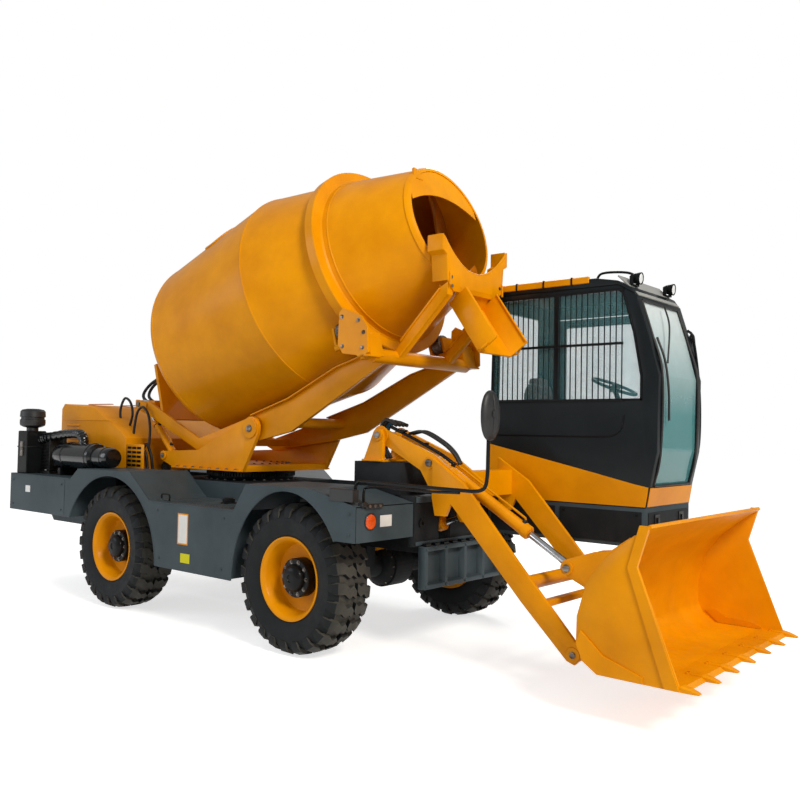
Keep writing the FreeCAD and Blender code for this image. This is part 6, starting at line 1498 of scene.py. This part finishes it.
# camera, floor and light
cameraSpec = dict(place=(5.612, -5.711, 1.731), azimuth=40.28, pitch=2.19, roll=1.07, lens=38.43)


def makeCamera(spec):
    a, e, r = (math.radians(spec[k]) for k in ("azimuth", "pitch", "roll"))
    look = Vector((-math.sin(a) * math.cos(e), math.cos(a) * math.cos(e), math.sin(e)))
    right = look.cross(Vector((0, 0, 1))).normalized()
    up = right.cross(look)
    right2 = right * math.cos(r) + up * math.sin(r)
    up2 = -right * math.sin(r) + up * math.cos(r)
    data = bpy.data.cameras.new("camera")
    data.sensor_width = 36
    data.lens = spec["lens"]
    data.clip_end = 200
    camera = bpy.data.objects.new("camera", data)
    rotation = Matrix((right2, up2, -look)).transposed().to_4x4()
    camera.matrix_world = Matrix.Translation(spec["place"]) @ rotation
    scene.collection.objects.link(camera)
    scene.camera = camera


makeCamera(cameraSpec)

floorMesh = bpy.data.meshes.new("floor")
floorMesh.from_pydata([(-60, -60, 0), (60, -60, 0), (60, 60, 0), (-60, 60, 0)], [], [(0, 1, 2, 3)])
floor = bpy.data.objects.new("floor", floorMesh)
scene.collection.objects.link(floor)


def paleFloor():
    # plain pale sweep: the camera, gloss and glass see it near white, while it keeps the shadow
    material, tree, shader, place = newMaterial("paleFloor", Base_Color=linearColour("#E4E4E2"),
        Roughness=0.9)
    seen = addNode(tree, "ShaderNodeLightPath")
    either = addNode(tree, "ShaderNodeMath",
                     {0: seen.outputs["Is Camera Ray"], 1: seen.outputs["Is Glossy Ray"]},
                     operation="MAXIMUM")
    either = addNode(tree, "ShaderNodeMath", {0: either.outputs[0], 1: seen.outputs["Is Transmission Ray"]},
                     operation="MAXIMUM")
    white = addNode(tree, "ShaderNodeEmission", {"Color": (1, 1, 1, 1), "Strength": 0.66})
    both = addNode(tree, "ShaderNodeAddShader")
    share = addNode(tree, "ShaderNodeMixShader", {0: either.outputs[0]})
    tree.links.new(shader.outputs[0], both.inputs[0])
    tree.links.new(white.outputs[0], both.inputs[1])
    tree.links.new(shader.outputs[0], share.inputs[1])
    tree.links.new(both.outputs[0], share.inputs[2])
    tree.links.new(share.outputs[0], tree.nodes["Material Output"].inputs["Surface"])
    return material


floorMesh.materials.append(paleFloor())


def paleWorld(level):
    world = bpy.data.worlds.new("studio")
    world.use_nodes = True
    tree = world.node_tree
    back = tree.nodes["Background"]
    back.inputs["Color"].default_value = (1, 1, 1, 1)
    seen = addNode(tree, "ShaderNodeLightPath")
    either = addNode(tree, "ShaderNodeMath",
                     {0: seen.outputs["Is Camera Ray"], 1: seen.outputs["Is Transmission Ray"]},
                     operation="MAXIMUM")
    strength = addNode(tree, "ShaderNodeMapRange",
                       {"Value": either.outputs[0], "To Min": level, "To Max": 1.0})
    tree.links.new(strength.outputs[0], back.inputs["Strength"])
    scene.world = world


paleWorld(0.44)


def softLamp(name, place, target, size, power, tone="#FFFFFF"):
    data = bpy.data.lights.new(name, "AREA")
    data.shape = "DISK"
    data.size = size
    data.energy = power
    data.color = linearColour(tone)[:3]
    lamp = bpy.data.objects.new(name, data)
    scene.collection.objects.link(lamp)
    lamp.location = place
    lamp.rotation_mode = "QUATERNION"
    lamp.rotation_quaternion = (Vector(target) - Vector(place)).to_track_quat("-Z", "Y")


softLamp("keyLamp", (12.0, -4.5, 9.5), (0.3, 0.0, 1.5), 4.0, 1500, "#FFF8EE")
softLamp("fillLamp", (-8.0, -9.0, 5.0), (0.0, 0.0, 1.5), 6.0, 300, "#F2F6FF")
softLamp("backLamp", (-3.0, 9.0, 9.0), (0.0, 0.0, 2.0), 5.0, 420, "#FFFFFF")

print("scene ready")
